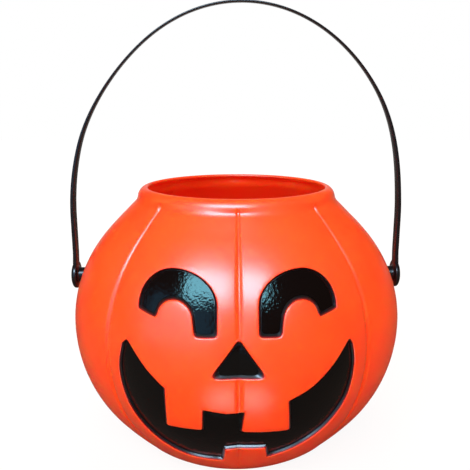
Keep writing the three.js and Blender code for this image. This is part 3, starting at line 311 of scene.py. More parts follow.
def box(low, high):
    """A closed box between two corners."""
    bm = bmesh.new()
    middle = (Vector(low) + Vector(high)) / 2
    size = Vector(high) - Vector(low)
    bmesh.ops.create_cube(bm, size=1, matrix=Matrix.Translation(middle) @ Matrix.Diagonal(size).to_4x4())
    return bm


def placed(bm, matrix):
    """The shape moved by a matrix, with its faces still pointing out."""
    bmesh.ops.transform(bm, matrix=matrix, verts=bm.verts)
    if matrix.determinant() < 0:
        bmesh.ops.reverse_faces(bm, faces=bm.faces)
    return bm


def temporary(bm):
    """An object holding the mesh, which is then freed."""
    mesh = bpy.data.meshes.new("shape")
    bm.to_mesh(mesh)
    bm.free()
    shape = bpy.data.objects.new("shape", mesh)
    bpy.context.scene.collection.objects.link(shape)
    return shape


def combined(bm, add=(), cut=()):
    """The closed shape with others joined to it and then others cut out of it."""
    body = temporary(bm)
    tools = []
    for operation, shapes in (("UNION", add), ("DIFFERENCE", cut)):
        for shape in shapes:
            tools.append(temporary(shape))
            boolean = body.modifiers.new("Boolean", "BOOLEAN")
            boolean.operation = operation
            boolean.solver = "MANIFOLD"
            boolean.object = tools[-1]
    bpy.context.view_layer.update()
    result = bmesh.new()
    result.from_object(body, bpy.context.evaluated_depsgraph_get())
    for shape in [body, *tools]:
        mesh = shape.data
        bpy.data.objects.remove(shape)
        bpy.data.meshes.remove(mesh)
    return result


def thickened(bm, offset):
    """Extrudes a flat shape along the offset."""
    copied = bmesh.ops.extrude_face_region(bm, geom=list(bm.faces), use_keep_orig=True)["geom"]
    bmesh.ops.translate(bm, vec=offset, verts=[v for v in copied if isinstance(v, bmesh.types.BMVert)])


def round_edges(bm, edges, offset, segments):
    bmesh.ops.bevel(
        bm, geom=edges, offset=offset, offset_type="OFFSET", segments=segments, profile=0.5,
        affect="EDGES", clamp_overlap=True, material=-1)


def bevelled(bm, offset, least=30, segments=2):
    """Rounds the edges that bend by more than the least angle in degrees."""
    edges = [e for e in bm.edges if e.calc_face_angle(0) > math.radians(least)]
    round_edges(bm, edges, offset, segments)
    return bm


def bar(x, y, z, edge):
    """A box with rounded edges, from its limits along the three axes."""
    return bevelled(box((x[0], y[0], z[0]), (x[1], y[1], z[1])), edge)


def finish_piece(bm, name, material, body, nodes, sharp=35):
    """Turns the mesh into a shaded object that rides on a body, and hides the frame nodes whose place it
    takes.
    """
    mesh = bpy.data.meshes.new(name)
    bm.to_mesh(mesh)
    bm.free()
    mesh.materials.append(material)
    mesh.shade_smooth()
    mesh.set_sharp_from_angle(angle=math.radians(sharp))
    piece = bpy.data.objects.new(name, mesh)
    bpy.context.scene.collection.objects.link(piece)
    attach(piece, body)
    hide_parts(*nodes)


# Materials


def add_node(tree, kind, inputs=None, **settings):
    """Adds a node with its settings, and sets or links its inputs."""
    node = tree.nodes.new(kind)
    for name, value in settings.items():
        setattr(node, name, value)
    for socket, value in (inputs or {}).items():
        if isinstance(value, bpy.types.NodeSocket):
            tree.links.new(value, node.inputs[socket])
        else:
            node.inputs[socket].default_value = value
    return node


def start_material(name, settings):
    """A new material with its node tree, its shader and the Object coordinates of the piece."""
    material = bpy.data.materials.new(name)
    material.use_nodes = True
    tree = material.node_tree
    shader = tree.nodes["Principled BSDF"]
    for socket, value in settings.items():
        shader.inputs[socket].default_value = value
    coords = add_node(tree, "ShaderNodeTexCoord").outputs["Object"]
    return material, tree, shader, coords


def uneven_gloss(tree, shader, coords, spot, detail, smooth, dull):
    """Roughness in spots of the given size, from smooth to dull. Returns the spots' pattern."""
    spots = add_node(tree, "ShaderNodeTexNoise", {"Vector": coords, "Scale": 1 / spot, "Detail": detail})
    rough = add_node(tree, "ShaderNodeMapRange", {0: spots.outputs[0], 1: 0.3, 2: 0.7, 3: smooth, 4: dull})
    tree.links.new(rough.outputs[0], shader.inputs["Roughness"])
    return spots.outputs[0]


def relief(tree, shader, coords, size, detail, strength, depth, finer=None):
    """Bumps of the given size and depth, over finer ones where there are some. Returns their normal."""
    noise = add_node(tree, "ShaderNodeTexNoise", {"Vector": coords, "Scale": 1 / size, "Detail": detail})
    inputs = {"Strength": strength, "Distance": depth, "Height": noise.outputs[0]}
    if finer:
        inputs["Normal"] = finer
    bump = add_node(tree, "ShaderNodeBump", inputs)
    tree.links.new(bump.outputs[0], shader.inputs["Normal"])
    return bump.outputs[0]


def blow_moulded_polyethylene(colours):
    """Satin pigmented polyethylene: faintly cloudy pigment, soft highlights on a gently uneven skin."""
    material, tree, shader, coords = start_material("blow_moulded_polyethylene", {
        "IOR": 1.54, "Coat Weight": 0.8, "Coat Roughness": 0.26, "Subsurface Weight": 0.85,
        "Subsurface Radius": (6.0, 0.6, 0.15), "Subsurface Scale": 1 * MM})
    cloud = add_node(tree, "ShaderNodeTexNoise", {"Vector": coords, "Scale": 1 / (40 * MM), "Detail": 3.0})
    tint = add_node(tree, "ShaderNodeMix", {
        0: cloud.outputs[0], 6: (*colours.orange, 1), 7: (*colours.deep_orange, 1)}, data_type="RGBA")
    # Black spray from the mask and painted shade on the walls of the pockets, darker towards their floors.
    mist_and_shade = add_node(tree, "ShaderNodeAttribute", attribute_name="overspray_and_shade").outputs["Fac"]
    speckle = add_node(tree, "ShaderNodeTexNoise", {"Vector": coords, "Scale": 1 / (0.6 * MM), "Detail": 2.0})
    broken = add_node(
        tree, "ShaderNodeMath", {0: speckle.outputs[0], 1: 0.3, 2: mist_and_shade}, operation="MULTIPLY_ADD")
    thin = add_node(tree, "ShaderNodeMapRange", {0: broken.outputs[0], 1: 0.2, 2: 0.4})
    thick = add_node(tree, "ShaderNodeMapRange", {0: broken.outputs[0], 1: 0.45, 2: 0.75})
    veiled_and_shaded = add_node(tree, "ShaderNodeMix", {
        0: thin.outputs[0], 6: tint.outputs[2], 7: (*colours.thin_paint_and_shade, 1)}, data_type="RGBA")
    sprayed = add_node(tree, "ShaderNodeMix", {
        0: thick.outputs[0], 6: veiled_and_shaded.outputs[2], 7: (*colours.paint, 1)}, data_type="RGBA")
    tree.links.new(sprayed.outputs[2], shader.inputs["Base Color"])
    # Mould polish varies over a few centimetres.
    uneven_gloss(tree, shader, coords, 25 * MM, 2.0, 0.36, 0.44)
    # Shallow dimples 1.5 mm across, and slow waves 14 mm long from the shrinking wall.
    dimples = relief(tree, shader, coords, 1.5 * MM, 2.0, 0.25, 0.06 * MM)
    relief(tree, shader, coords, 14 * MM, 1.0, 0.5, 0.5 * MM, dimples)
    return material


def gloss_enamel(colours):
    """Thick black enamel, sprayed through a mask: a sharp bluish gloss broken by wrinkles."""
    material, tree, shader, coords = start_material("gloss_enamel", {
        "Base Color": (*colours.paint, 1), "IOR": 1.4, "Specular Tint": (0.5, 1, 0.98, 1), "Roughness": 0.1})
    # Wrinkled orange peel 1.4 mm across, over slow runs 12 mm long.
    peel = relief(tree, shader, coords, 1.4 * MM, 2.0, 0.8, 0.2 * MM)
    relief(tree, shader, coords, 12 * MM, 1.0, 0.5, 0.6 * MM, peel)
    return material


def moulded_polypropylene(colours):
    """Black moulded polypropylene: a satin skin with flow lines that catch a dull highlight."""
    material, tree, shader, coords = start_material("moulded_polypropylene", {
        "Base Color": (*colours.handle, 1), "IOR": 1.49})
    uneven_gloss(tree, shader, coords, 9 * MM, 3.0, 0.22, 0.32)
    relief(tree, shader, coords, 0.8 * MM, 2.0, 0.3, 0.05 * MM)
    return material


def spark_eroded_abs(colours):
    """Black ABS from a spark-eroded mould: an even fine grain that kills the gloss."""
    material, tree, shader, coords = start_material("spark_eroded_abs", {"IOR": 1.53})
    # Rubbed spots are a little lighter and smoother.
    rubbed = uneven_gloss(tree, shader, coords, 8 * MM, 3.0, 0.55, 0.42)
    tint = add_node(tree, "ShaderNodeMix", {
        0: rubbed, 6: (*colours.housing, 1), 7: (*[c * 1.5 for c in colours.housing], 1)}, data_type="RGBA")
    tree.links.new(tint.outputs[2], shader.inputs["Base Color"])
    # Real grain is about 0.1 mm; it is drawn at 0.3 mm so that it shows.
    relief(tree, shader, coords, 0.3 * MM, 2.0, 0.6, 0.05 * MM)
    return material


def frosted_polystyrene(colours):
    """Milky frosted polystyrene: light spreads inside it, so the small lamps show only as soft spots."""
    material, tree, shader, coords = start_material("frosted_polystyrene", {
        "Base Color": (*colours.lens, 1), "IOR": 1.59, "Transmission Weight": 0.55})
    uneven_gloss(tree, shader, coords, 6 * MM, 2.0, 0.38, 0.5)
    # Blasted mould face, 0.4 mm between pits.
    relief(tree, shader, coords, 0.4 * MM, 2.0, 0.4, 0.04 * MM)
    return material


def masked_fibreglass(colours):
    """Fibreglass board under green solder mask: copper traces 0.7 mm wide stand out a little lighter."""
    material, tree, shader, coords = start_material("masked_fibreglass", {"IOR": 1.5})
    traces = add_node(tree, "ShaderNodeTexBrick", {
        "Vector": coords, "Scale": 1 / (12 * MM), "Mortar Size": 0.03, "Mortar Smooth": 0.1,
        "Brick Width": 1.5, "Row Height": 0.17, "Color1": (*colours.board, 1),
        "Color2": (*colours.board, 1), "Mortar": (*colours.copper, 1)})
    tree.links.new(traces.outputs["Color"], shader.inputs["Base Color"])
    # The glass weave, 0.5 mm between threads.
    uneven_gloss(tree, shader, coords, 0.5 * MM, 1.0, 0.22, 0.32)
    bump = add_node(tree, "ShaderNodeBump", {
        "Strength": 0.5, "Distance": 0.04 * MM, "Height": traces.outputs["Fac"]})
    tree.links.new(bump.outputs[0], shader.inputs["Normal"])
    return material


def tinted_epoxy(colours):
    """Cast epoxy of a small lamp: clear with a warm tint, a glassy skin and faint swirls."""
    material, tree, shader, coords = start_material("tinted_epoxy", {
        "Base Color": (*colours.led, 1), "IOR": 1.55, "Transmission Weight": 0.8})
    uneven_gloss(tree, shader, coords, 2 * MM, 2.0, 0.06, 0.16)
    return material


def black_epoxy(colours):
    """Dropped black epoxy: set with a slightly wavy, half glossy skin."""
    material, tree, shader, coords = start_material("black_epoxy", {
        "Base Color": (*colours.chip, 1), "IOR": 1.55})
    uneven_gloss(tree, shader, coords, 2.5 * MM, 2.0, 0.22, 0.38)
    relief(tree, shader, coords, 2.5 * MM, 2.0, 0.5, 0.1 * MM)
    return material


def plated_steel(name, tint, grain, smooth, dull):
    """Plated sheet or drawn steel: its plating follows the rolled grain, in brighter and duller spots."""
    material, tree, shader, coords = start_material(name, {"Metallic": 1})
    spots = uneven_gloss(tree, shader, coords, 3 * MM, 3.0, smooth, dull)
    shade = add_node(tree, "ShaderNodeMix", {
        0: spots, 6: (*tint, 1), 7: (*[c * 0.8 for c in tint], 1)}, data_type="RGBA")
    tree.links.new(shade.outputs[2], shader.inputs["Base Color"])
    drawn = add_node(tree, "ShaderNodeMapping", {"Vector": coords, "Scale": (0.15, 1, 1)})
    relief(tree, shader, drawn.outputs[0], grain, 2.0, 0.3, 0.02 * MM)
    return material


def vinyl_insulation(name, tint):
    """Extruded vinyl on a thin lead: satin, with faint scuffs 1.2 mm across from bending."""
    material, tree, shader, coords = start_material(name, {"Base Color": (*tint, 1), "IOR": 1.54})
    uneven_gloss(tree, shader, coords, 1.2 * MM, 2.0, 0.36, 0.52)
    relief(tree, shader, coords, 1.2 * MM, 2.0, 0.3, 0.03 * MM)
    return material


# The body's surface


def semi_axis(s, z):
    """Height of the half ellipse that the crest line follows at height z."""
    return s.widest_z + s.lower_overrun if z < s.widest_z else s.height - s.widest_z + s.upper_overrun


def crest_point(s, z, inset):
    """Radius and height on the crest line at height z, moved inwards by inset along its normal."""
    semi = semi_axis(s, z)
    radius = s.body_radius * math.sqrt(1 - ((z - s.widest_z) / semi) ** 2)
    normal = Vector((radius / s.body_radius ** 2, (z - s.widest_z) / semi ** 2)).normalized()
    return radius - inset * normal.x, z - inset * normal.y


def skin_radius(s, z, inset):
    """Radius at height z of the crest line moved inwards by inset."""
    on = z
    for _ in range(4):
        on += z - crest_point(s, on, inset)[1]
    return crest_point(s, on, inset)[0]


def groove(s, azimuth, z, with_channel):
    """How far the skin is drawn in at an azimuth and height."""
    collar_foot = s.height - s.collar_height
    if z > collar_foot + s.notch_height:
        return 0.0
    lobe = math.tau / s.lobes
    share = abs(azimuth - round(azimuth / lobe) * lobe) / (lobe / 2)
    at_collar = smooth_step(collar_foot - s.groove_fade, collar_foot, z)
    depth = s.groove_depth + (s.collar_groove_depth - s.groove_depth) * at_collar
    drawn = depth * (1 - share) ** 2
    if with_channel:
        edge = s.channel_width / (s.body_radius * lobe)
        drawn += s.channel_depth * (1 - smooth_step(edge * 0.35, edge, share))
    drawn *= 1 - smooth_step(collar_foot, collar_foot + s.notch_height, z)
    return drawn * smooth_step(s.body_start_z, s.body_start_z + s.groove_fade, z)


def on_skin(s, x, z, inset, with_channel):
    """The point of the front of the skin that lies at x and z."""
    radius = skin_radius(s, z, inset)
    drawn = 0.0
    for _ in range(4):
        drawn = groove(s, math.asin(x / (radius - drawn)), z, with_channel)
    return Vector((x, -math.sqrt((radius - drawn) ** 2 - x ** 2), z))


COLUMNS = 18  # in half a lobe, drawn closer together beside the groove
CROWDING = 2
OUTER_ROWS = 60  # up the body outside
INNER_ROWS = 40
SHOULDER_STEPS = 4
BEAD_STEPS = 20


def press_lobes(bm, s, with_channel):
    """Draws a turned body in along its grooves, with its columns crowded there."""
    lobe = math.tau / s.lobes
    for v in bm.verts:
        radius = math.hypot(v.co.x, v.co.y)
        if radius < s.bore_radius + s.lip_radius:
            continue
        azimuth = math.atan2(v.co.x, -v.co.y)
        middle = round(azimuth / lobe) * lobe
        share = (azimuth - middle) / (lobe / 2)
        azimuth = middle + math.copysign(abs(share) ** CROWDING, share) * lobe / 2
        radius -= groove(s, azimuth, v.co.z, with_channel)
        v.co = (radius * math.sin(azimuth), -radius * math.cos(azimuth), v.co.z)
    return bm


def body_rows(s, inset, count):
    """Points up the body's profile, from the foot's edge to the collar."""
    shoulder_z = s.height - s.collar_height - s.shoulder_height
    low = math.asin((s.body_start_z - s.widest_z) / semi_axis(s, 0))
    high = math.asin((shoulder_z - s.widest_z) / semi_axis(s, s.height))
    angles = [low + (high - low) * k / count for k in range(count + 1)]
    heights = [s.widest_z + semi_axis(s, s.widest_z + a * MM) * math.sin(a) for a in angles]
    rows = [crest_point(s, z, inset) for z in heights]
    collar = Vector((s.bore_radius + s.bead_width, s.height - s.collar_height))
    shoulder = Vector(crest_point(s, shoulder_z, 0))
    normal = Vector((collar.y - shoulder.y, shoulder.x - collar.x)).normalized()
    start = Vector(rows[-1])
    end = collar - inset * normal
    return rows + [tuple(start.lerp(end, k / SHOULDER_STEPS)) for k in range(1, SHOULDER_STEPS + 1)]


BEAD_START = 5  # first point of the bead's arc that the fillet leaves free
FILLET_REACH = 0.6  # how far the fillet runs up the shoulder, as a share of its run up the bead


def beaded(rows, corner, bead):
    """The shoulder's rows and the bead's arc, with a hollow fillet that runs smoothly into both."""
    end = Vector(bead[BEAD_START])
    tangent = Vector(bead[BEAD_START - 1]) - Vector(bead[BEAD_START + 1])
    shoulder = Vector(corner) - Vector(rows[-1])
    middle = end + tangent * ((Vector(corner) - end).cross(shoulder) / tangent.cross(shoulder))
    start = middle - shoulder.normalized() * (end - middle).length * FILLET_REACH
    below = [row for row in rows if row[1] < start.y]
    fillet = curved(start, middle, end, (0, 0.2, 0.4, 0.6, 0.8))
    return below + [tuple(point) for point in fillet] + bead[BEAD_START:]


def foot_radius(s):
    """Outer radius of the foot's flat ring."""
    return crest_point(s, s.body_start_z, 0)[0] - s.foot_inset


def outer_solid(s):
    """The pail's outside as a full solid, with the grooves pressed in."""
    foot = foot_radius(s)
    start = Vector(crest_point(s, s.body_start_z, 0))
    rows = body_rows(s, 0, OUTER_ROWS)
    slope = Vector(rows[1]) - start
    bend = Vector((start.x - start.y * slope.x / slope.y, 0))
    rounding = curved(Vector((foot, 0)), bend, start, (0, 0.25, 0.5, 0.75))
    collar_z = s.height - s.collar_height
    crown = s.bore_radius + s.lip_radius
    bead = ellipse(crown, collar_z, s.bead_width - s.lip_radius, s.collar_height, 0, 90, BEAD_STEPS)
    profile = [
        (0, s.floor_z),
        (foot - s.foot_width - s.foot_lean, s.floor_z),
        (foot - s.foot_width, 0),
        *[tuple(point) for point in rounding],
        *beaded(rows[:-1], rows[-1], bead),
        (0, s.height),
    ]
    return press_lobes(spun(profile, s.lobes * 2 * COLUMNS), s, True)


def hollow_solid(s):
    """The space inside the pail, up past its rim."""
    foot = foot_radius(s)
    floor_top = s.floor_z + s.wall
    across = s.wall * math.hypot(s.floor_z, s.foot_lean) / s.floor_z
    floor_radius = foot - s.foot_width - s.foot_lean
    lip = s.lip_radius
    rows = body_rows(s, s.wall, INNER_ROWS)
    bead_radius, bead_z = rows.pop()
    bead_height = s.height - lip - s.lip_drop - bead_z
    bead = ellipse(s.bore_radius, bead_z, bead_radius - s.bore_radius, bead_height, 0, 90, BEAD_STEPS)
    profile = [
        (0, floor_top),
        (floor_radius + (s.floor_z - floor_top) * s.foot_lean / s.floor_z + across, floor_top),
        (floor_radius + (s.floor_z - s.wall) * s.foot_lean / s.floor_z + across, s.wall),
        (foot, s.wall),
        *beaded(rows, (bead_radius, bead_z), bead),
        *ellipse(s.bore_radius + lip, s.height - lip, lip, lip, 180, 90, 6),
        (s.bore_radius + lip, s.height + PAST),
        (0, s.height + PAST),
    ]
    return press_lobes(spun(profile, s.lobes * 2 * COLUMNS), s, False)


# The face

# Outlines in X and Z, in millimetres, with the rounding radius of a sharp corner as a third number.


def eye_outline(axis, side):
    """Half an arch: a long inner leg, a round top and a short outer end cut on the slant."""
    right = [
        (10.2, 98.9, 2.4),
        *ellipse(30.9, 113, 20.7, 15.6, 180, 90, 12),
        *ellipse(30.9, 109.6, 19.1, 19, 84, 4, 12),
        (49.9, 108.6, 2.2),
        (41, 106.3, 1.6),
        *ellipse(31.2, 106.3, 9, 9, 14, 176, 14),
        (21.2, 98.9, 2.4),
    ]
    return [(axis + side * point[0], *point[1:]) for point in right]


def nose_outline(axis):
    """A triangle, a little uneven."""
    return [(axis + 0.4, 97.9, 2.2), (axis - 14.3, 78.3, 2.8), (axis + 14.5, 78.3, 2.8)]


def mouth_outline():
    """A wide grin with two upper teeth and one lower tooth."""
    return [
        (-57.2, 92, 1.2),
        *spline([(-55.3, 90), (-46.6, 79.4), (-38.6, 71.9)], 10),
        (-37.3, 70.9, 0.9),
        (-37.2, 47.1, 1.3),
        (-18.7, 47, 1.3),
        (-18.2, 60.4, 0.9),
        (-6.5, 57.9),
        (-1.5, 58),
        (2.6, 58.7, 0.9),
        (1.2, 45.2, 1.3),
        (26, 45.7, 1.5),
        (24.8, 64.9, 0.9),
        *spline([(26.2, 65.6), (36.7, 71.2), (46.9, 80.1), (54.6, 89.2)], 12),
        (56.8, 92, 1.2),
        *spline([(58.8, 88.6), (60.2, 76), (56.6, 57.5), (45.8, 41.6), (30.5, 30.2), (17.8, 24)], 40),
        (15.4, 22.7, 0.6),
        (14.2, 32.6, 0.9),
        (-7.3, 31.2, 0.9),
        (-8.3, 19.6, 0.6),
        *spline([(-11, 19.7), (-28, 23.5), (-44.5, 34.4), (-57, 51.4), (-62.2, 72.5), (-60, 89)], 44),
    ]


def face_outlines(face):
    """Every outline by its name, the eyes and the nose drawn from the middle of the face."""
    axis = face.axis_x / MM
    return {
        "left_eye": eye_outline(axis, -1),
        "right_eye": eye_outline(axis, 1),
        "nose": nose_outline(axis),
        "mouth": mouth_outline(),
    }


def grown_outline(outline, grow):
    """The outline in metres, grown outwards, with its sharp corners rounded."""
    points = [Vector(point[:2]) * MM for point in outline]
    size = len(points)
    facing = math.copysign(1, sum(points[k - 1].cross(points[k]) for k in range(size)))
    sides = [b - a for a, b in zip(points, points[1:] + points[:1])]
    normals = [Vector((side.y, -side.x)).normalized() * facing for side in sides]
    moved = []
    for k, point in enumerate(points):
        middle = (normals[k - 1] + normals[k]).normalized()
        moved.append(point + middle * (grow / middle.dot(normals[k])))
    rounded = []
    for k, point in enumerate(moved):
        if len(outline[k]) < 3:
            rounded.append(point)
            continue
        radius = outline[k][2] * MM
        back = moved[k - 1] - point
        on = moved[(k + 1) % size] - point
        longest = 0.45 * min(back.length, on.length)
        reach = min(radius / math.tan(back.angle(on) / 2), longest)
        start = point + back.normalized() * reach
        end = point + on.normalized() * reach
        rounded += curved(start, point, end, (0, 0.25, 0.5, 0.75, 1))
    return rounded if facing > 0 else rounded[::-1]


def outline_loops(outline, grows, spacing):
    """The outline grown by several widths, with matching points along all of them."""
    lines = [grown_outline(outline, grow) for grow in grows]
    loops = [[] for _ in lines]
    for k in range(len(lines[0])):
        after = (k + 1) % len(lines[0])
        pieces = max(1, round((lines[0][after] - lines[0][k]).length / spacing))
        for line, loop in zip(lines, loops):
            loop += [line[k].lerp(line[after], step / pieces) for step in range(pieces)]
    return loops


def open_window(bm, s, face, inset):
    """Deletes the front of one skin of the wall and returns the loop of vertices round the opening."""
    off_skin = s.wall / 4
    doomed = []
    for f in bm.faces:
        middle = f.calc_center_median()
        azimuth = math.atan2(middle.x, -middle.y)
        if abs(azimuth) < math.tau / s.lobes and face.low_z < middle.z < face.high_z:
            radius = math.hypot(middle.x, middle.y) + groove(s, azimuth, middle.z, inset == 0)
            if abs(radius - skin_radius(s, middle.z, inset)) < off_skin:
                doomed.append(f)
    bmesh.ops.delete(bm, geom=doomed, context="FACES")
    edges = [e for e in bm.edges if e.is_boundary]
    loop = [edges[0].verts[0], edges[0].verts[1]]
    while True:
        following = next(e for e in loop[-1].link_edges if e.is_boundary and loop[-2] not in e.verts)
        vert = following.other_vert(loop[-1])
        if vert == loop[0]:
            break
        loop.append(vert)
    area = sum(loop[k - 1].co.xz.cross(loop[k].co.xz) for k in range(len(loop)))
    return loop if area > 0 else loop[::-1]


ROW_SPACING = 1.8 * MM
CLEAR_OF_OUTLINES = 0.75 * MM


def lattice(s, face, inset):
    """Points between the outlines, on the body's own columns."""
    half_lobe = math.pi / s.lobes
    shares = [(k / COLUMNS) ** CROWDING for k in range(COLUMNS + 1)]
    azimuths = {round(side * share * half_lobe, 6) for share in shares for side in (-1, 1)}
    azimuths |= {round(side * (2 - share) * half_lobe, 6) for share in shares[1:] for side in (-1, 1)}
    rows = int((face.high_z - face.low_z) / ROW_SPACING)
    points = []
    for row in range(1, rows):
        z = face.low_z + (face.high_z - face.low_z) * row / rows
        radius = skin_radius(s, z, inset)
        for azimuth in azimuths:
            drawn = groove(s, azimuth, z, inset == 0)
            points.append(Vector(((radius - drawn) * math.sin(azimuth), z)))
    return points


def press_face(bm, s, face, inset, steps):
    """Closes the front of one skin with a sheet that is pressed in along the face's outlines.

    Each step gives how far an outline is grown and how deep it lies, from the lip to the floor.
    The outer skin's depth is kept as a vertex attribute, which the shell's material turns into black spray
    and painted shade on the pocket walls. Returns for each outline the corners of its innermost triangles, in
    X and Z.
    """
    mist_and_shade = bm.verts.layers.float.get("overspray_and_shade") or bm.verts.layers.float.new("overspray_and_shade")
    border = open_window(bm, s, face, inset)
    loops = [[v.co.xz for v in border]]
    depths = [0.0]
    last = {}
    for name, outline in face_outlines(face).items():
        loops += outline_loops(outline, [grow for grow, _ in steps], face.point_spacing)
        depths += [depth for _, depth in steps]
        last[name] = len(loops) - 1
    points = [point for loop in loops for point in loop]
    loop_of = [k for k, loop in enumerate(loops) for _ in loop]
    fixed = KDTree(len(points))
    for k, point in enumerate(points):
        fixed.insert((*point, 0), k)
    fixed.balance()
    starts = [sum(len(loop) for loop in loops[:k]) for k in range(len(loops))]
    sides = [list(range(start, start + len(loop))) for start, loop in zip(starts, loops)]
    span = [min(point.x for point in loops[0]), max(point.x for point in loops[0])]
    for point in lattice(s, face, inset):
        if span[0] < point.x < span[1] and fixed.find((*point, 0))[2] > CLEAR_OF_OUTLINES:
            points.append(point)
    flat, _, triangles, origins, _, holders = delaunay_2d_cdt(points, [], sides, 1, 1e-7)
    depth_of = [0.0] * len(flat)
    for triangle, held in zip(triangles, holders):
        for k in triangle:
            depth_of[k] = max(depth_of[k], max(depths[loop] for loop in held))
    verts = []
    for k, point in enumerate(flat):
        own = [source for source in origins[k] if source < len(loop_of)]
        depth = depths[loop_of[own[0]]] if own else depth_of[k]
        on_border = own and loop_of[own[0]] == 0
        verts.append(border[own[0]] if on_border else bm.verts.new(
            on_skin(s, point.x, point.y, inset + depth, inset + depth == 0)))
        # Deeper in a pocket the shell turns darker: black spray and painted shade.
        verts[-1][mist_and_shade] = depth / face.pocket_depth if inset == 0 else 0
    floors = {name: [] for name in last}
    for triangle, held in zip(triangles, holders):
        bm.faces.new([verts[k] for k in triangle])
        for name, loop in last.items():
            if loop in held:
                floors[name].append([tuple(flat[k]) for k in triangle])
    bmesh.ops.recalc_face_normals(bm, faces=bm.faces)
    return floors


def film(s, face, triangles):
    """A coat of paint over a pocket's floor."""
    bm = bmesh.new()
    top = face.pocket_depth - face.paint_thickness
    for triangle in triangles:
        bm.faces.new([bm.verts.new(on_skin(s, x, z, top, False)) for x, z in triangle])
    bmesh.ops.remove_doubles(bm, verts=bm.verts, dist=MERGE)
    bmesh.ops.recalc_face_normals(bm, faces=bm.faces)
    if sum(f.normal.y for f in bm.faces) > 0:
        bmesh.ops.reverse_faces(bm, faces=bm.faces)
    fronts = list(bm.faces)
    back = bmesh.ops.duplicate(bm, geom=fronts)["geom"]
    for v in back:
        if isinstance(v, bmesh.types.BMVert):
            v.co = on_skin(s, v.co.x, v.co.z, face.pocket_depth, False)
    bmesh.ops.reverse_faces(bm, faces=[f for f in back if isinstance(f, bmesh.types.BMFace)])
    bmesh.ops.bridge_loops(bm, edges=[e for e in bm.edges if e.is_boundary])
    return bm


def screw_bores(radius, low, high):
    """Cylinders round the axes of the housing screws, for cutting their holes."""
    return [placed(cylinder(radius, low, high, HOLE_STEPS), Matrix.Translation(at)) for at in screw_places()]


def screw_places():
    """Middles of the screws that clamp the light unit, at the level of the origin."""
    boxes = [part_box(f"housing_screw_{k}") for k in (1, 2, 3)]
    return [Vector(((low.x + high.x) / 2, (low.y + high.y) / 2, 0)) for low, high in boxes]


# The pivots and the handle


def along_x(bm, side, pivot_z):
    """Turns a shape about Z into one about the pivot axis, on one side of the pail."""
    return placed(bm, Matrix.Translation((0, 0, pivot_z)) @ Matrix.Rotation(side * math.pi / 2, 4, "Y"))


def pivot_z(s, handle):
    """Height of the handle's pivot axis."""
    return s.widest_z + handle.pivot_rise


STUD_TIP = 0.7  # share of the stud's radius


def handle_end(s, handle):
    """Domed tab, hub and barbed snap stud, turned about Z, with the tab outwards."""
    seat = s.body_radius - handle.seat_inset
    inner = seat + handle.gap
    back = seat + handle.standoff - handle.thickness / 2 - handle.tab_back
    face = seat + handle.standoff + handle.thickness / 2 + handle.tab_proud
    fillet = handle.hub_fillet
    edge = handle.tab_edge
    head = seat - s.wall - handle.gap
    tip = head - handle.stud_head_length
    return spun([
        (0, tip),
        (handle.stud_radius * STUD_TIP, tip),
        (handle.stud_head_radius, head - handle.stud_head_land),
        (handle.stud_head_radius, head),
        (handle.stud_radius, head),
        (handle.stud_radius, inner),
        *ellipse(handle.hub_radius - edge, inner + edge, edge, edge, -90, 0, 3),
        *ellipse(handle.hub_radius + fillet, back - fillet, fillet, fillet, 180, 90, 6),
        *ellipse(handle.tab_radius - edge, back + edge, edge, edge, -90, 0, 4),
        *ellipse(
            handle.tab_radius - handle.tab_dome_width, face - handle.tab_dome_height,
            handle.tab_dome_width, handle.tab_dome_height, 0, 90, 10),
        (0, face),
    ], 72)


LEG_STEPS = 30
ARCH_STEPS = 120
THINNED_SHARE = 0.8  # share of the arch's height over which the strip thins


def strip(s, handle):
    """The strip from pivot to pivot, thicker where it runs into the tabs, slimmer towards its top.

    It is soft enough for its arch to lean a little to the right, each side from a height of its own.
    """
    axis = pivot_z(s, handle)
    leg_top = axis + handle.leg_height
    middle = s.body_radius - handle.seat_inset + handle.standoff
    half = handle.thickness / 2
    rise = handle.top_z - leg_top - half
    swell = handle.leg_swell
    thinner = handle.thickness + swell - handle.arch_thickness
    tab_top = axis + handle.tab_radius
    foot = axis - handle.strip_foot
    heights = [foot + (leg_top - foot) * k / LEG_STEPS for k in range(LEG_STEPS)]
    lines = []
    for facing in (1, -1):
        side = []
        for z in heights:
            near = 1 - smooth_step(tab_top - handle.fillet_drop, tab_top + handle.fillet_height, z)
            swollen = swell * (1 - near) if facing < 0 else 0
            side.append((middle + facing * (half + handle.tab_back * near + swollen), z))
        arch = []
        for x, z in ellipse(0, leg_top, 1, 1, 0, 180, ARCH_STEPS):
            thinning = thinner * smooth_step(0, THINNED_SHARE, z - leg_top)
            offset = half if facing > 0 else thinning - half - swell
            arch.append((x * (middle + offset), leg_top + (z - leg_top) * (rise + offset)))
        lines.append(side + arch + [(-x, z) for x, z in reversed(side)])
    bm = bmesh.new()
    chains = []
    for line in lines:
        verts = [bm.verts.new((x, -handle.width / 2, z)) for x, z in line]
        chains.append([bm.edges.new(pair) for pair in zip(verts, verts[1:])])
    bmesh.ops.bridge_loops(bm, edges=chains[0] + chains[1])
    thickened(bm, (0, handle.width, 0))
    narrowing = 1 - handle.arch_width / handle.width
    for v in bm.verts:
        v.co.y *= 1 - narrowing * smooth_step(leg_top, handle.top_z, v.co.z)
        low, high = (
            (handle.right_lean_low, handle.right_lean_high) if v.co.x > 0
            else (handle.left_lean_low, handle.left_lean_high))
        v.co.x += handle.lean * smooth_step(leg_top + low, leg_top + high, v.co.z)
    bmesh.ops.recalc_face_normals(bm, faces=bm.faces)
    return bevelled(bm, handle.edge, least=60, segments=3)


# The light unit


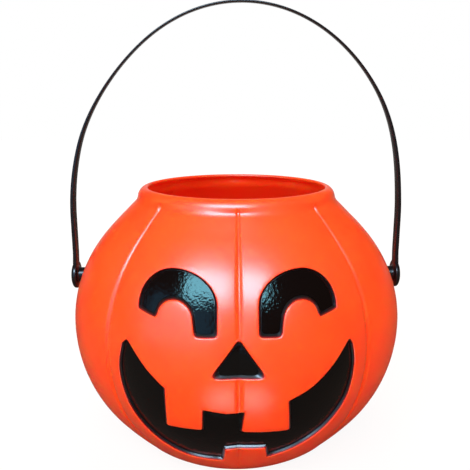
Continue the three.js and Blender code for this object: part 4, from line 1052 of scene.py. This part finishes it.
def cup(lamp):
    """Cup with its flange, board ledge, bay walls, switch fence and screw boss, cut for door and switch."""
    low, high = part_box("base_housing")
    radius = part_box("lens")[1].x
    bore = radius - lamp.cup_wall
    floor = low.z + lamp.base_thickness
    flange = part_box("clamp_ring")[1].x
    flange_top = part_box("housing_screw_1")[0].z + lamp.head_height + lamp.gap + lamp.flange_thickness
    ledge_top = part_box("circuit_board")[0].z - lamp.gap
    ledge = ledge_top - lamp.ledge_thickness
    edge = lamp.edge
    body = spun([
        (0, low.z),
        *ellipse(radius - edge, low.z + edge, edge, edge, -90, 0, 4),
        (radius, flange_top - lamp.flange_thickness),
        *ellipse(flange - edge, flange_top - lamp.flange_thickness + edge, edge, edge, -90, 0, 3),
        *ellipse(flange - edge, flange_top - edge, edge, edge, 0, 90, 3),
        (radius, flange_top),
        (radius, high.z),
        (bore, high.z),
        (bore, ledge_top),
        (bore - lamp.ledge_width, ledge_top),
        (bore - lamp.ledge_width, ledge),
        (bore, ledge - lamp.ledge_width / 2),
        (bore, floor),
        (0, floor),
    ], ROUND_STEPS)
    y = lamp.row_y
    root = floor - lamp.base_thickness / 2
    bay_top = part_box("contact_positive")[1].z
    wall = lamp.bay_wall
    start = lamp.bay_start - wall
    end = lamp.bay_end + wall
    half = lamp.bay_half
    rib_places = [y + side * (half + wall / 2) for side in (-1, 1)]
    ribs = [
        bar((start, end), (at - wall / 2, at + wall / 2), (root, bay_top), lamp.rib_edge)
        for at in rib_places]
    wall_height = (floor + lamp.end_wall_lift, bay_top - lamp.end_wall_drop)
    walls = [
        bar((at, at + wall), (y - half - wall / 2, y + half + wall / 2), wall_height, lamp.thin_edge)
        for at in (start, lamp.bay_end)]
    screw_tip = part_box("door_screw")[1].z
    boss_top = screw_tip + lamp.boss_roof
    screw_place = Matrix.Translation((lamp.door_screw_x, y, 0))
    boss = placed(cylinder(lamp.door_boss, floor + lamp.gap, boss_top, 48), screw_place)
    web_end = math.sqrt((bore + lamp.cup_wall / 2) ** 2 - y ** 2)
    web_height = (floor + lamp.gap, boss_top)
    web = bar((end - wall / 2, web_end), (y - wall / 2, y + wall / 2), web_height, lamp.thin_edge)
    switch_low, switch_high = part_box("switch_body")
    fence = [box(
        (switch_low.x - margin, switch_low.y - margin, root - spare),
        (switch_high.x + margin, switch_high.y + margin, (switch_low.z + switch_high.z) / 2 + spare))
        for margin, spare in ((lamp.gap + lamp.fence_wall, 0), (lamp.gap, PAST))]
    fence_wall = combined(fence[0], cut=[fence[1]])
    middle = (switch_low.y + switch_high.y) / 2
    slot = box(
        (-lamp.slot_half_length, middle - lamp.slot_half_width, low.z - PAST),
        (lamp.slot_half_length, middle + lamp.slot_half_width, floor + lamp.slot_over))
    holes = screw_bores(
        lamp.shank + lamp.gap, flange_top - lamp.flange_thickness - PAST, flange_top + PAST)
    door_hole = placed(cylinder(lamp.door_screw_hole, floor, screw_tip + lamp.gap, 32), screw_place)
    opening = door_panel(lamp, 0, low.z - PAST, floor + lamp.gap)
    return combined(
        body, add=[*ribs, *walls, boss, web, fence_wall], cut=[opening, slot, door_hole, *holes])


def door_panel(lamp, gap, low, high):
    """The door's outline, a box with a narrow ear for its screw, raised from low to high."""
    y = lamp.row_y
    half = lamp.bay_half - gap
    ear = lamp.ear_half - gap
    start = lamp.bay_start + gap
    step = lamp.bay_end - gap
    end = lamp.ear_end - gap
    outline = [
        (start, -half), (step, -half), (step, -ear), (end, -ear),
        (end, ear), (step, ear), (step, half), (start, half)]
    bm = bmesh.new()
    bm.faces.new([bm.verts.new((x, y + across, low)) for x, across in outline])
    thickened(bm, (0, 0, high - low))
    bmesh.ops.recalc_face_normals(bm, faces=bm.faces)
    corners = [e for e in bm.edges if abs(e.verts[0].co.z - e.verts[1].co.z) > (high - low) / 2]
    round_edges(bm, corners, lamp.door_corner, 4)
    return bm


def battery_door(lamp):
    """Door with two hooks at one end, grip grooves, and a narrow ear with a hole for its screw."""
    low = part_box("base_housing")[0].z
    floor = low + lamp.base_thickness
    y = lamp.row_y
    panel = bevelled(door_panel(lamp, lamp.gap, low, floor), lamp.rib_edge, 60)
    post = lamp.bay_start + lamp.gap
    edge = lamp.bay_half - lamp.gap
    hooks = []
    for start in (y - edge, y + edge - lamp.tab_width):
        across = (start, start + lamp.tab_width)
        top = floor + lamp.gap + lamp.tab_thickness
        riser = (floor - lamp.base_thickness / 2, top)
        hooks.append(bar((post, post + lamp.tab_thickness), across, riser, lamp.thin_edge))
        reach = (lamp.bay_start - lamp.tab_reach, post + lamp.tab_thickness / 2)
        hooks.append(bar(reach, across, (floor + lamp.gap, top), lamp.thin_edge))
    screw_place = Matrix.Translation((lamp.door_screw_x, y, 0))
    hole = placed(cylinder(lamp.door_shank + lamp.gap, low - PAST, floor + PAST, 32), screw_place)
    across = (y - lamp.grip_half, y + lamp.grip_half)
    starts = [lamp.bay_end - lamp.grip_margin - k * lamp.grip_pitch for k in range(lamp.grip_count)]
    depth = (low - PAST, low + lamp.grip_depth)
    grooves = [bar((x, x + lamp.grip_width), across, depth, lamp.rib_edge) for x in starts]
    return combined(panel, add=hooks, cut=[hole, *grooves])


def clamp_ring(lamp):
    """Ring on the pail's floor with a collar round the cup and three screw bosses."""
    low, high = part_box("clamp_ring")
    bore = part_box("lens")[1].x + lamp.gap
    collar = bore + lamp.ring_wall
    plate_top = low.z + lamp.flange_thickness
    collar_top = low.z + lamp.ring_collar
    edge = lamp.edge
    ring = spun([
        (bore, low.z),
        (high.x, low.z),
        *ellipse(high.x - edge, plate_top - edge, edge, edge, 0, 90, 4),
        *ellipse(collar + edge, plate_top + edge, edge, edge, 270, 180, 4),
        *ellipse(collar - edge, collar_top - edge, edge, edge, 0, 90, 4),
        (bore, collar_top),
    ], ROUND_STEPS)
    bosses = [placed(spun([
        (0, plate_top - PAST),
        (lamp.screw_boss, plate_top - PAST),
        *ellipse(lamp.screw_boss - edge, high.z - edge, edge, edge, 0, 90, 4),
        (0, high.z)], 48), Matrix.Translation(at)) for at in screw_places()]
    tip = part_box("housing_screw_1")[1].z + lamp.gap
    return combined(ring, add=bosses, cut=screw_bores(lamp.shank + lamp.gap, low.z - PAST, tip))


def lens_dome(lamp):
    """Domed lens with a rounded lip and a skirt that plugs into the cup."""
    low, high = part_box("lens")
    skirt = high.x - lamp.cup_wall - lamp.gap
    bore = skirt - lamp.lens_skirt
    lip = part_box("base_housing")[1].z + lamp.gap
    dome = high.z - lamp.lens_rise
    edge = lamp.edge
    return spun([
        *ellipse(0, dome, bore, lamp.lens_rise - lamp.lens_wall, 90, 0, 24),
        (bore, low.z),
        (skirt, low.z),
        (skirt, lip),
        *ellipse(high.x - edge, lip + edge, edge, edge, -90, 0, 4),
        *ellipse(0, dome, high.x, lamp.lens_rise, 0, 90, 32),
    ], ROUND_STEPS)


THREAD_ROOT = 0.8  # share of the shank's radius
POINT = 0.35  # share of the shank's radius
SCREW_EDGE = 0.1 * MM
CROSS_REACH = 0.52  # share of the head's radius
CROSS_HALF = 0.13
CROSS_DEPTH = 0.6  # share of the head's height
CROSS_EDGE = 0.08 * MM


def screw(node, shank, head_height, pitch):
    """Pan-head screw standing on its head, with a cross recess and threads up to its point."""
    low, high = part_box(node)
    radius = (high.x - low.x) / 2
    seat = low.z + head_height
    root = shank * THREAD_ROOT
    recess = low.z + CROSS_DEPTH * head_height
    threads = []
    z = seat + pitch / 2
    while z < high.z - 1.5 * shank:
        threads += [(root, z), (shank, z + pitch * 0.4), (shank, z + pitch * 0.55), (root, z + pitch * 0.95)]
        z += pitch
    body = spun([
        (0, low.z),
        (radius * 0.5, low.z + 0.03 * head_height),
        *ellipse(radius * 0.55, recess, radius * 0.45, 0.55 * head_height, -80, 0, 6),
        (radius, seat - SCREW_EDGE),
        (radius - SCREW_EDGE, seat),
        (shank, seat),
        *threads,
        (root, high.z - shank),
        (shank * POINT, high.z - SCREW_EDGE),
        (0, high.z),
    ], 40)
    reach = radius * CROSS_REACH
    half = radius * CROSS_HALF
    cross = [
        bar((-x, x), (-y, y), (low.z - PAST, recess), CROSS_EDGE)
        for x, y in ((reach, half), (half, reach))]
    middle = Matrix.Translation(((low.x + high.x) / 2, (low.y + high.y) / 2, 0))
    return placed(combined(body, cut=cross), middle)


CELL_ROLL = 0.5 * MM
CAP_EDGE = 0.25 * MM
SEAL_FROM_CAP = 0.5 * MM  # to the middle of the groove round the cap
SEAL_HALF = 0.4 * MM
SEAL_DEPTH = 0.3 * MM


def button_cell(lamp, node):
    """Button cell lying along X, its smaller cap towards the spring, with rolled edges."""
    low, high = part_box(node)
    radius = (high.z - low.z) / 2
    thick = high.x - low.x
    step = lamp.cell_step
    roll = CELL_ROLL
    bm = spun([
        (0, 0),
        *ellipse(lamp.cell_button - CAP_EDGE, CAP_EDGE, CAP_EDGE, CAP_EDGE, -90, 0, 3),
        (lamp.cell_button, step),
        *ellipse(lamp.cell_button + SEAL_FROM_CAP, step, SEAL_HALF, SEAL_DEPTH, 180, 360, 6),
        *ellipse(radius - roll, step + roll, roll, roll, -90, 0, 5),
        *ellipse(radius - roll, thick - roll, roll, roll, 0, 90, 5),
        (0, thick),
    ], 64)
    turn = Matrix.Rotation(math.pi / 2, 4, "Y")
    return placed(bm, Matrix.Translation((low.x, (low.y + high.y) / 2, (low.z + high.z) / 2)) @ turn)


CARRIAGE_HEIGHT = 1.4 * MM
STEM_HALF = (1.6 * MM, 1.2 * MM)  # along and across the slot
STEM_ROOT = 0.7 * MM  # inside the carriage
KNOB_EDGE = 0.15 * MM
RIDGE_GAPS = (-0.9 * MM, 0, 0.9 * MM)
RIDGE_GAP_HALF = (0.18 * MM, 2 * MM)
RIDGE_HEIGHT = 0.35 * MM
RIDGE_EDGE = 0.08 * MM


def switch_knob(lamp):
    """Slide knob with a ridged thumb face under its carriage."""
    low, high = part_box("switch_knob")
    middle = (low.x + high.x) / 2
    across = (low.y + high.y) / 2
    carriage_z = high.z - CARRIAGE_HEIGHT
    carriage = bar((low.x, high.x), (low.y, high.y), (carriage_z, high.z), KNOB_EDGE)
    along, wide = STEM_HALF
    stem = bar(
        (middle - along, middle + along), (across - wide, across + wide),
        (low.z, carriage_z + STEM_ROOT), KNOB_EDGE)
    along, wide = RIDGE_GAP_HALF
    grips = [bar(
        (middle + x - along, middle + x + along), (across - wide, across + wide),
        (low.z - PAST, low.z + RIDGE_HEIGHT), RIDGE_EDGE) for x in RIDGE_GAPS]
    return combined(carriage, add=[stem], cut=grips)


def softened(node, edge, least=30):
    """A copy of a CAD node's mesh with its corners merged and its edges rounded."""
    bm = bmesh.new()
    bm.from_mesh(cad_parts[node].data)
    bmesh.ops.remove_doubles(bm, verts=bm.verts, dist=MERGE)
    bmesh.ops.dissolve_limit(bm, angle_limit=math.radians(1), verts=bm.verts, edges=bm.edges)
    return bevelled(bm, edge, least) if edge else bm


# Operators


class PAIL_OT_shell(bpy.types.Operator):
    """Build the moulded pail with its pressed face and the paint in its pockets"""

    bl_idname = "pail.shell"
    bl_label = "Pail and Face"

    def execute(self, context):
        s = context.scene.pail_sizes
        face = context.scene.pail_face
        handle = context.scene.pail_handle
        colours = context.scene.pail_colours
        axis = pivot_z(s, handle)
        seat = s.body_radius - handle.seat_inset
        seat_radius = handle.hub_radius + handle.seat_margin
        pad_radius = seat_radius + handle.pad_rim
        past = s.body_radius + PAST

        def both(radius, low, high):
            return [along_x(cylinder(radius, low, high), side, axis) for side in (-1, 1)]

        hollow = combined(
            hollow_solid(s),
            add=both(seat_radius, seat - s.wall - handle.pad_depth, seat - s.wall),
            cut=both(pad_radius, seat - s.wall, past))
        low = s.floor_z - PAST
        high = s.floor_z + s.wall + PAST
        cup_hole = cylinder(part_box("lens")[1].x + handle.gap, low, high, ROUND_STEPS)
        bm = combined(
            outer_solid(s),
            add=both(pad_radius, seat - handle.pad_depth, seat),
            cut=[
                hollow,
                *both(seat_radius, seat, past),
                *both(handle.stud_radius + handle.gap, seat - s.wall - PAST, seat + PAST),
                cup_hole,
                *screw_bores(s.screw_hole_radius, low, high),
            ])
        depth = face.pocket_depth
        lip = face.lip_rounding
        lean = face.wall_lean
        press_face(bm, s, face, s.wall, [(s.wall, 0), (s.wall - lean, depth)])
        floors = press_face(bm, s, face, 0, [
            (lip, 0),
            (0.6 * lip, 0.1 * lip),
            (0.2 * lip, 0.5 * lip),
            (0, lip),
            (-0.5 * lean, 0.5 * (depth + lip)),
            (0.15 * lip - lean, depth - face.floor_corner),
            (-lean, depth),
            (-lean - face.paint_margin, depth),
        ])
        finish_piece(
            bm, "pail_body", blow_moulded_polyethylene(colours), "pail", ["pail_shell"])
        enamel = gloss_enamel(colours)
        for name, triangles in floors.items():
            finish_piece(
                film(s, face, triangles), f"{name}_enamel", enamel, "pail", [f"{name}_paint"])
        return {"FINISHED"}


class PAIL_OT_handle(bpy.types.Operator):
    """Build the strip handle with its domed tabs and snap studs"""

    bl_idname = "pail.handle"
    bl_label = "Handle"

    def execute(self, context):
        s = context.scene.pail_sizes
        handle = context.scene.pail_handle
        ends = [along_x(handle_end(s, handle), side, pivot_z(s, handle)) for side in (-1, 1)]
        bm = combined(strip(s, handle), add=ends)
        material = moulded_polypropylene(context.scene.pail_colours)
        finish_piece(bm, "strip_handle", material, "carrying_handle", ["handle"])
        return {"FINISHED"}


class PAIL_OT_housing(bpy.types.Operator):
    """Build the light unit's cup, its clamp ring, the battery door and the slide knob"""

    bl_idname = "pail.housing"
    bl_label = "Light Housing"

    def execute(self, context):
        lamp = context.scene.pail_lamp
        material = spark_eroded_abs(context.scene.pail_colours)
        pieces = (
            (cup, "lamp_cup", "pail", "base_housing", "black_housing"),
            (clamp_ring, "floor_ring", "pail", "clamp_ring", "black_housing"),
            (battery_door, "bay_door", "door", "battery_door", "black_housing"),
            (switch_knob, "slide_knob", "switch_slider", "switch_knob", "black_knob"),
        )
        for shape, name, body, node, slot in pieces:
            finish_piece(shape(lamp), name, material, body, [node], sharp=30)
        return {"FINISHED"}


class PAIL_OT_lens(bpy.types.Operator):
    """Build the frosted dome over the lamps"""

    bl_idname = "pail.lens"
    bl_label = "Lens"

    def execute(self, context):
        material = frosted_polystyrene(context.scene.pail_colours)
        bm = lens_dome(context.scene.pail_lamp)
        finish_piece(bm, "lens_dome", material, "pail", ["lens"], sharp=30)
        return {"FINISHED"}


class PAIL_OT_screws(bpy.types.Operator):
    """Build the housing screws, the door's screw and the switch's steel can"""

    bl_idname = "pail.screws"
    bl_label = "Screws"

    def execute(self, context):
        lamp = context.scene.pail_lamp
        material = plated_steel("zinc_plated_steel", context.scene.pail_colours.zinc, 0.3 * MM, 0.28, 0.42)
        for k in (1, 2, 3):
            node = f"housing_screw_{k}"
            bm = screw(node, lamp.shank, lamp.head_height, lamp.thread_pitch)
            finish_piece(bm, f"pan_screw_{k}", material, "pail", [node], sharp=40)
        bm = screw("door_screw", lamp.door_shank, lamp.door_head_height, lamp.thread_pitch)
        finish_piece(bm, "pan_screw_door", material, "door", ["door_screw"], sharp=40)
        bm = softened("switch_body", lamp.rib_edge)
        finish_piece(bm, "switch_can", material, "pail", ["switch_body"], sharp=30)
        return {"FINISHED"}


class PAIL_OT_power(bpy.types.Operator):
    """Build the cells with their contact strips and spring, and the leads"""

    bl_idname = "pail.power"
    bl_label = "Cells, Contacts and Leads"

    def execute(self, context):
        lamp = context.scene.pail_lamp
        colours = context.scene.pail_colours
        nickel = plated_steel("nickel_plated_steel", colours.nickel, 0.2 * MM, 0.2, 0.34)
        for k in (1, 2, 3):
            node = f"cell_{k}"
            bm = button_cell(lamp, node)
            finish_piece(bm, f"button_cell_{k}", nickel, "pail", [node], sharp=40)
        for node, edge, name in (
                ("contact_positive", lamp.contact_edge, "strip_positive"),
                ("contact_negative", lamp.contact_edge, "strip_negative"),
                ("battery_spring", 0, "coil_spring")):
            finish_piece(softened(node, edge), name, nickel, "pail", [node], sharp=50)
        red = vinyl_insulation("red_vinyl", colours.red_wire)
        black = vinyl_insulation("black_vinyl", colours.black_wire)
        for node, material, slot in (
                ("lead_positive", red, "red_wire"), ("lead_negative", black, "black_wire"),
                ("lead_switched", black, "black_wire")):
            finish_piece(softened(node, 0), f"{node}_vinyl", material, "pail", [node], sharp=60)
        return {"FINISHED"}


class PAIL_OT_board(bpy.types.Operator):
    """Build the circuit board with its lamps and its flasher"""

    bl_idname = "pail.board"
    bl_label = "Board and Lamps"

    def execute(self, context):
        colours = context.scene.pail_colours
        board = masked_fibreglass(colours)
        epoxy = tinted_epoxy(colours)
        chip = black_epoxy(colours)
        pieces = (
            ("circuit_board", "masked_board", board, "circuit_board", 30),
            *[(f"led_{k}", f"lamp_epoxy_{k}", epoxy, "led_epoxy", 40) for k in (1, 2, 3)],
            ("flasher_chip", "flasher_drop", chip, "chip_epoxy", 40),
        )
        for node, name, material, slot, sharp in pieces:
            finish_piece(softened(node, 0), name, material, "pail", [node], sharp)
        return {"FINISHED"}


# Bright spot on the floor, seen only in gloss: a painted highlight.
HIGHLIGHT_SPOT_MIDDLE = (0, -0.175, 0)
HIGHLIGHT_SPOT_RADIUS = 0.045
HIGHLIGHT_SPOT_GLOW = 4.0
AIM_HEIGHT = 90 * MM
CAMERA_DISTANCE = 360 * MM
CAMERA_HEIGHT = 209.5 * MM
CAMERA_TILT = 12.76  # degrees down
CAMERA_TURN = 0.88  # degrees round to the left of the pail's front
CAMERA_LENS = 44.58
CAMERA_SHIFT = -1.3 / 470


class PAIL_OT_stage(bpy.types.Operator):
    """Lay the floor and set the lights, the world and the camera"""

    bl_idname = "pail.stage"
    bl_label = "Floor, Lights and Camera"

    def execute(self, context):
        scene = context.scene
        scene.view_settings.view_transform = "Standard"
        bm = bmesh.new()
        bmesh.ops.create_grid(bm, x_segments=1, y_segments=1, size=3)
        mesh = bpy.data.meshes.new("floor")
        bm.to_mesh(mesh)
        bm.free()
        floor = bpy.data.objects.new("floor", mesh)
        scene.collection.objects.link(floor)
        mesh.materials.append(self.floor_material(scene.pail_colours))
        self.set_world(scene)
        self.add_lights(scene)
        self.add_camera(scene)
        return {"FINISHED"}

    def floor_material(self, colours):
        """Matt brown floor that glows white for the camera, a little less near the pail, and in one spot in
        front glows bright for gloss alone, a painted highlight.
        """
        material, tree, shader, coords = start_material("studio_floor", {
            "Base Color": (*colours.floor, 1), "Roughness": 0.9, "Emission Color": (1, 1, 1, 1)})
        far = add_node(tree, "ShaderNodeSeparateXYZ", {0: coords}).outputs[1]
        away = add_node(tree, "ShaderNodeVectorMath", {0: coords}, operation="LENGTH").outputs["Value"]
        white = add_node(tree, "ShaderNodeMapRange", {0: away, 1: 0.1, 2: 0.7, 3: 0.92, 4: 1.0})
        glow = add_node(tree, "ShaderNodeMath", {
            0: self.white_share(tree, far, 0.8, 1.8), 1: white.outputs[0]}, operation="MULTIPLY")
        # A bright spot in front that only the pieces' gloss sees: a painted highlight under the nose, from no
        # lamp.
        front = add_node(tree, "ShaderNodeVectorMath", {0: coords, 1: HIGHLIGHT_SPOT_MIDDLE}, operation="DISTANCE")
        highlight_spot = add_node(tree, "ShaderNodeMapRange", {
            0: front.outputs["Value"], 1: HIGHLIGHT_SPOT_RADIUS, 2: 0.0, 4: HIGHLIGHT_SPOT_GLOW})
        path = add_node(tree, "ShaderNodeLightPath")
        gloss = path.outputs["Is Glossy Ray"]
        glow_and_highlight = add_node(tree, "ShaderNodeMath", {
            0: highlight_spot.outputs[0], 1: gloss, 2: glow.outputs[0]}, operation="MULTIPLY_ADD")
        tree.links.new(glow_and_highlight.outputs[0], shader.inputs["Emission Strength"])
        return material

    def white_share(self, tree, far, low, high):
        """1 for the camera's rays and through glass, and for gloss up to 0.5 from low to high, far behind."""
        path = add_node(tree, "ShaderNodeLightPath")
        behind = add_node(tree, "ShaderNodeMapRange", {0: far, 1: low, 2: high, 4: 0.5})
        gloss = add_node(tree, "ShaderNodeMath", {
            0: path.outputs["Is Glossy Ray"], 1: behind.outputs[0]}, operation="MULTIPLY")
        clear = add_node(tree, "ShaderNodeMath", {
            0: gloss.outputs[0], 1: path.outputs["Is Transmission Ray"]}, operation="MAXIMUM")
        return add_node(tree, "ShaderNodeMath", {
            0: clear.outputs[0], 1: path.outputs["Is Camera Ray"]}, operation="MAXIMUM").outputs[0]

    def set_world(self, scene):
        """White for the camera, 0.7 as light, and nearly dark for gloss except on the far side."""
        world = bpy.data.worlds.new("studio")
        world.use_nodes = True
        tree = world.node_tree
        way = add_node(tree, "ShaderNodeTexCoord").outputs["Generated"]
        far = add_node(tree, "ShaderNodeSeparateXYZ", {0: way}).outputs[1]
        gloss = add_node(tree, "ShaderNodeLightPath").outputs["Is Glossy Ray"]
        near = add_node(tree, "ShaderNodeMapRange", {0: gloss, 3: 0.7, 4: 0.02})
        strength = add_node(tree, "ShaderNodeMapRange", {
            0: self.white_share(tree, far, 0.85, 1.0), 3: near.outputs[0], 4: 1.0})
        tree.nodes["Background"].inputs["Color"].default_value = (1, 1, 1, 1)
        tree.links.new(strength.outputs[0], tree.nodes["Background"].inputs["Strength"])
        scene.world = world

    def add_lights(self, scene):
        """A window in front, dim blue sky on its left, and lamps that only fill the shade."""
        # Name, degrees round from the front and up, distance, width and height, power, tint
        lamps = [
            ("window", -13, 43, 1.0, (0.7, 0.36), 15, (0.55, 0.79, 1)),
            ("sky", -36, 14, 1.0, (1.2, 0.6), 2.4, (0.3, 0.6, 1)),
            ("fill_top", 180, 62, 1.2, (0.7, 0.7), 9, (1, 0.96, 0.92)),
            ("fill_left", -50, 0, 1.4, (1.0, 0.25), 14, (1, 0.75, 0.55)),
            ("fill_right", 50, 0, 1.4, (1.0, 0.25), 14, (1, 0.65, 0.4)),
        ]
        for name, azimuth, elevation, distance, size, power, tint in lamps:
            light = bpy.data.lights.new(name, "AREA")
            light.shape = "RECTANGLE"
            light.size, light.size_y = size
            light.energy = power
            light.color = tint
            lamp = bpy.data.objects.new(name, light)
            scene.collection.objects.link(lamp)
            lamp.visible_glossy = not name.startswith("fill")
            turn = Matrix.Rotation(math.radians(azimuth), 4, "Z")
            tilt = Matrix.Rotation(math.radians(90 - elevation), 4, "X")
            aim = Matrix.Translation((0, 0, AIM_HEIGHT)) @ turn @ tilt
            lamp.matrix_world = aim @ Matrix.Translation((0, 0, distance))

    def add_camera(self, scene):
        """Camera at the photograph's height, distance and tilt."""
        data = bpy.data.cameras.new("camera")
        data.lens = CAMERA_LENS
        data.sensor_width = 36
        data.shift_x = CAMERA_SHIFT
        camera = bpy.data.objects.new("camera", data)
        scene.collection.objects.link(camera)
        turn = math.radians(CAMERA_TURN)
        camera.location = (
            -CAMERA_DISTANCE * math.sin(turn), -CAMERA_DISTANCE * math.cos(turn), CAMERA_HEIGHT)
        camera.rotation_euler = (math.radians(90 - CAMERA_TILT), 0, -turn)
        scene.camera = camera


class PAIL_PT_panel(bpy.types.Panel):
    """Sidebar panel that lists the sizes, the colours and the pieces."""

    bl_idname = "PAIL_PT_panel"
    bl_label = "Pumpkin Pail"
    bl_space_type = "VIEW_3D"
    bl_region_type = "UI"
    bl_category = "Pumpkin Pail"

    def draw(self, context):
        for operator in OPERATORS:
            self.layout.operator(operator.bl_idname)
        for group in GROUPS:
            settings = getattr(context.scene, group)
            for name in settings.__annotations__:
                self.layout.prop(settings, name)


GROUPS = {
    "pail_sizes": PailSizes,
    "pail_face": FaceSizes,
    "pail_handle": HandleSizes,
    "pail_lamp": LampSizes,
    "pail_colours": PailColours,
}
OPERATORS = (
    PAIL_OT_shell, PAIL_OT_handle, PAIL_OT_housing, PAIL_OT_lens,
    PAIL_OT_screws, PAIL_OT_power, PAIL_OT_board, PAIL_OT_stage)


def register():
    for cls in (*GROUPS.values(), *OPERATORS, PAIL_PT_panel):
        bpy.utils.register_class(cls)
    for name, cls in GROUPS.items():
        setattr(bpy.types.Scene, name, PointerProperty(type=cls))


def unregister():
    for name in GROUPS:
        delattr(bpy.types.Scene, name)
    for cls in (PAIL_PT_panel, *reversed(OPERATORS), *reversed(GROUPS.values())):
        bpy.utils.unregister_class(cls)


def main():
    register()
    bpy.ops.pail.shell()
    bpy.ops.pail.handle()
    bpy.ops.pail.housing()
    bpy.ops.pail.lens()
    bpy.ops.pail.screws()
    bpy.ops.pail.power()
    bpy.ops.pail.board()
    bpy.ops.pail.stage()


if __name__ == "__main__":
    main()
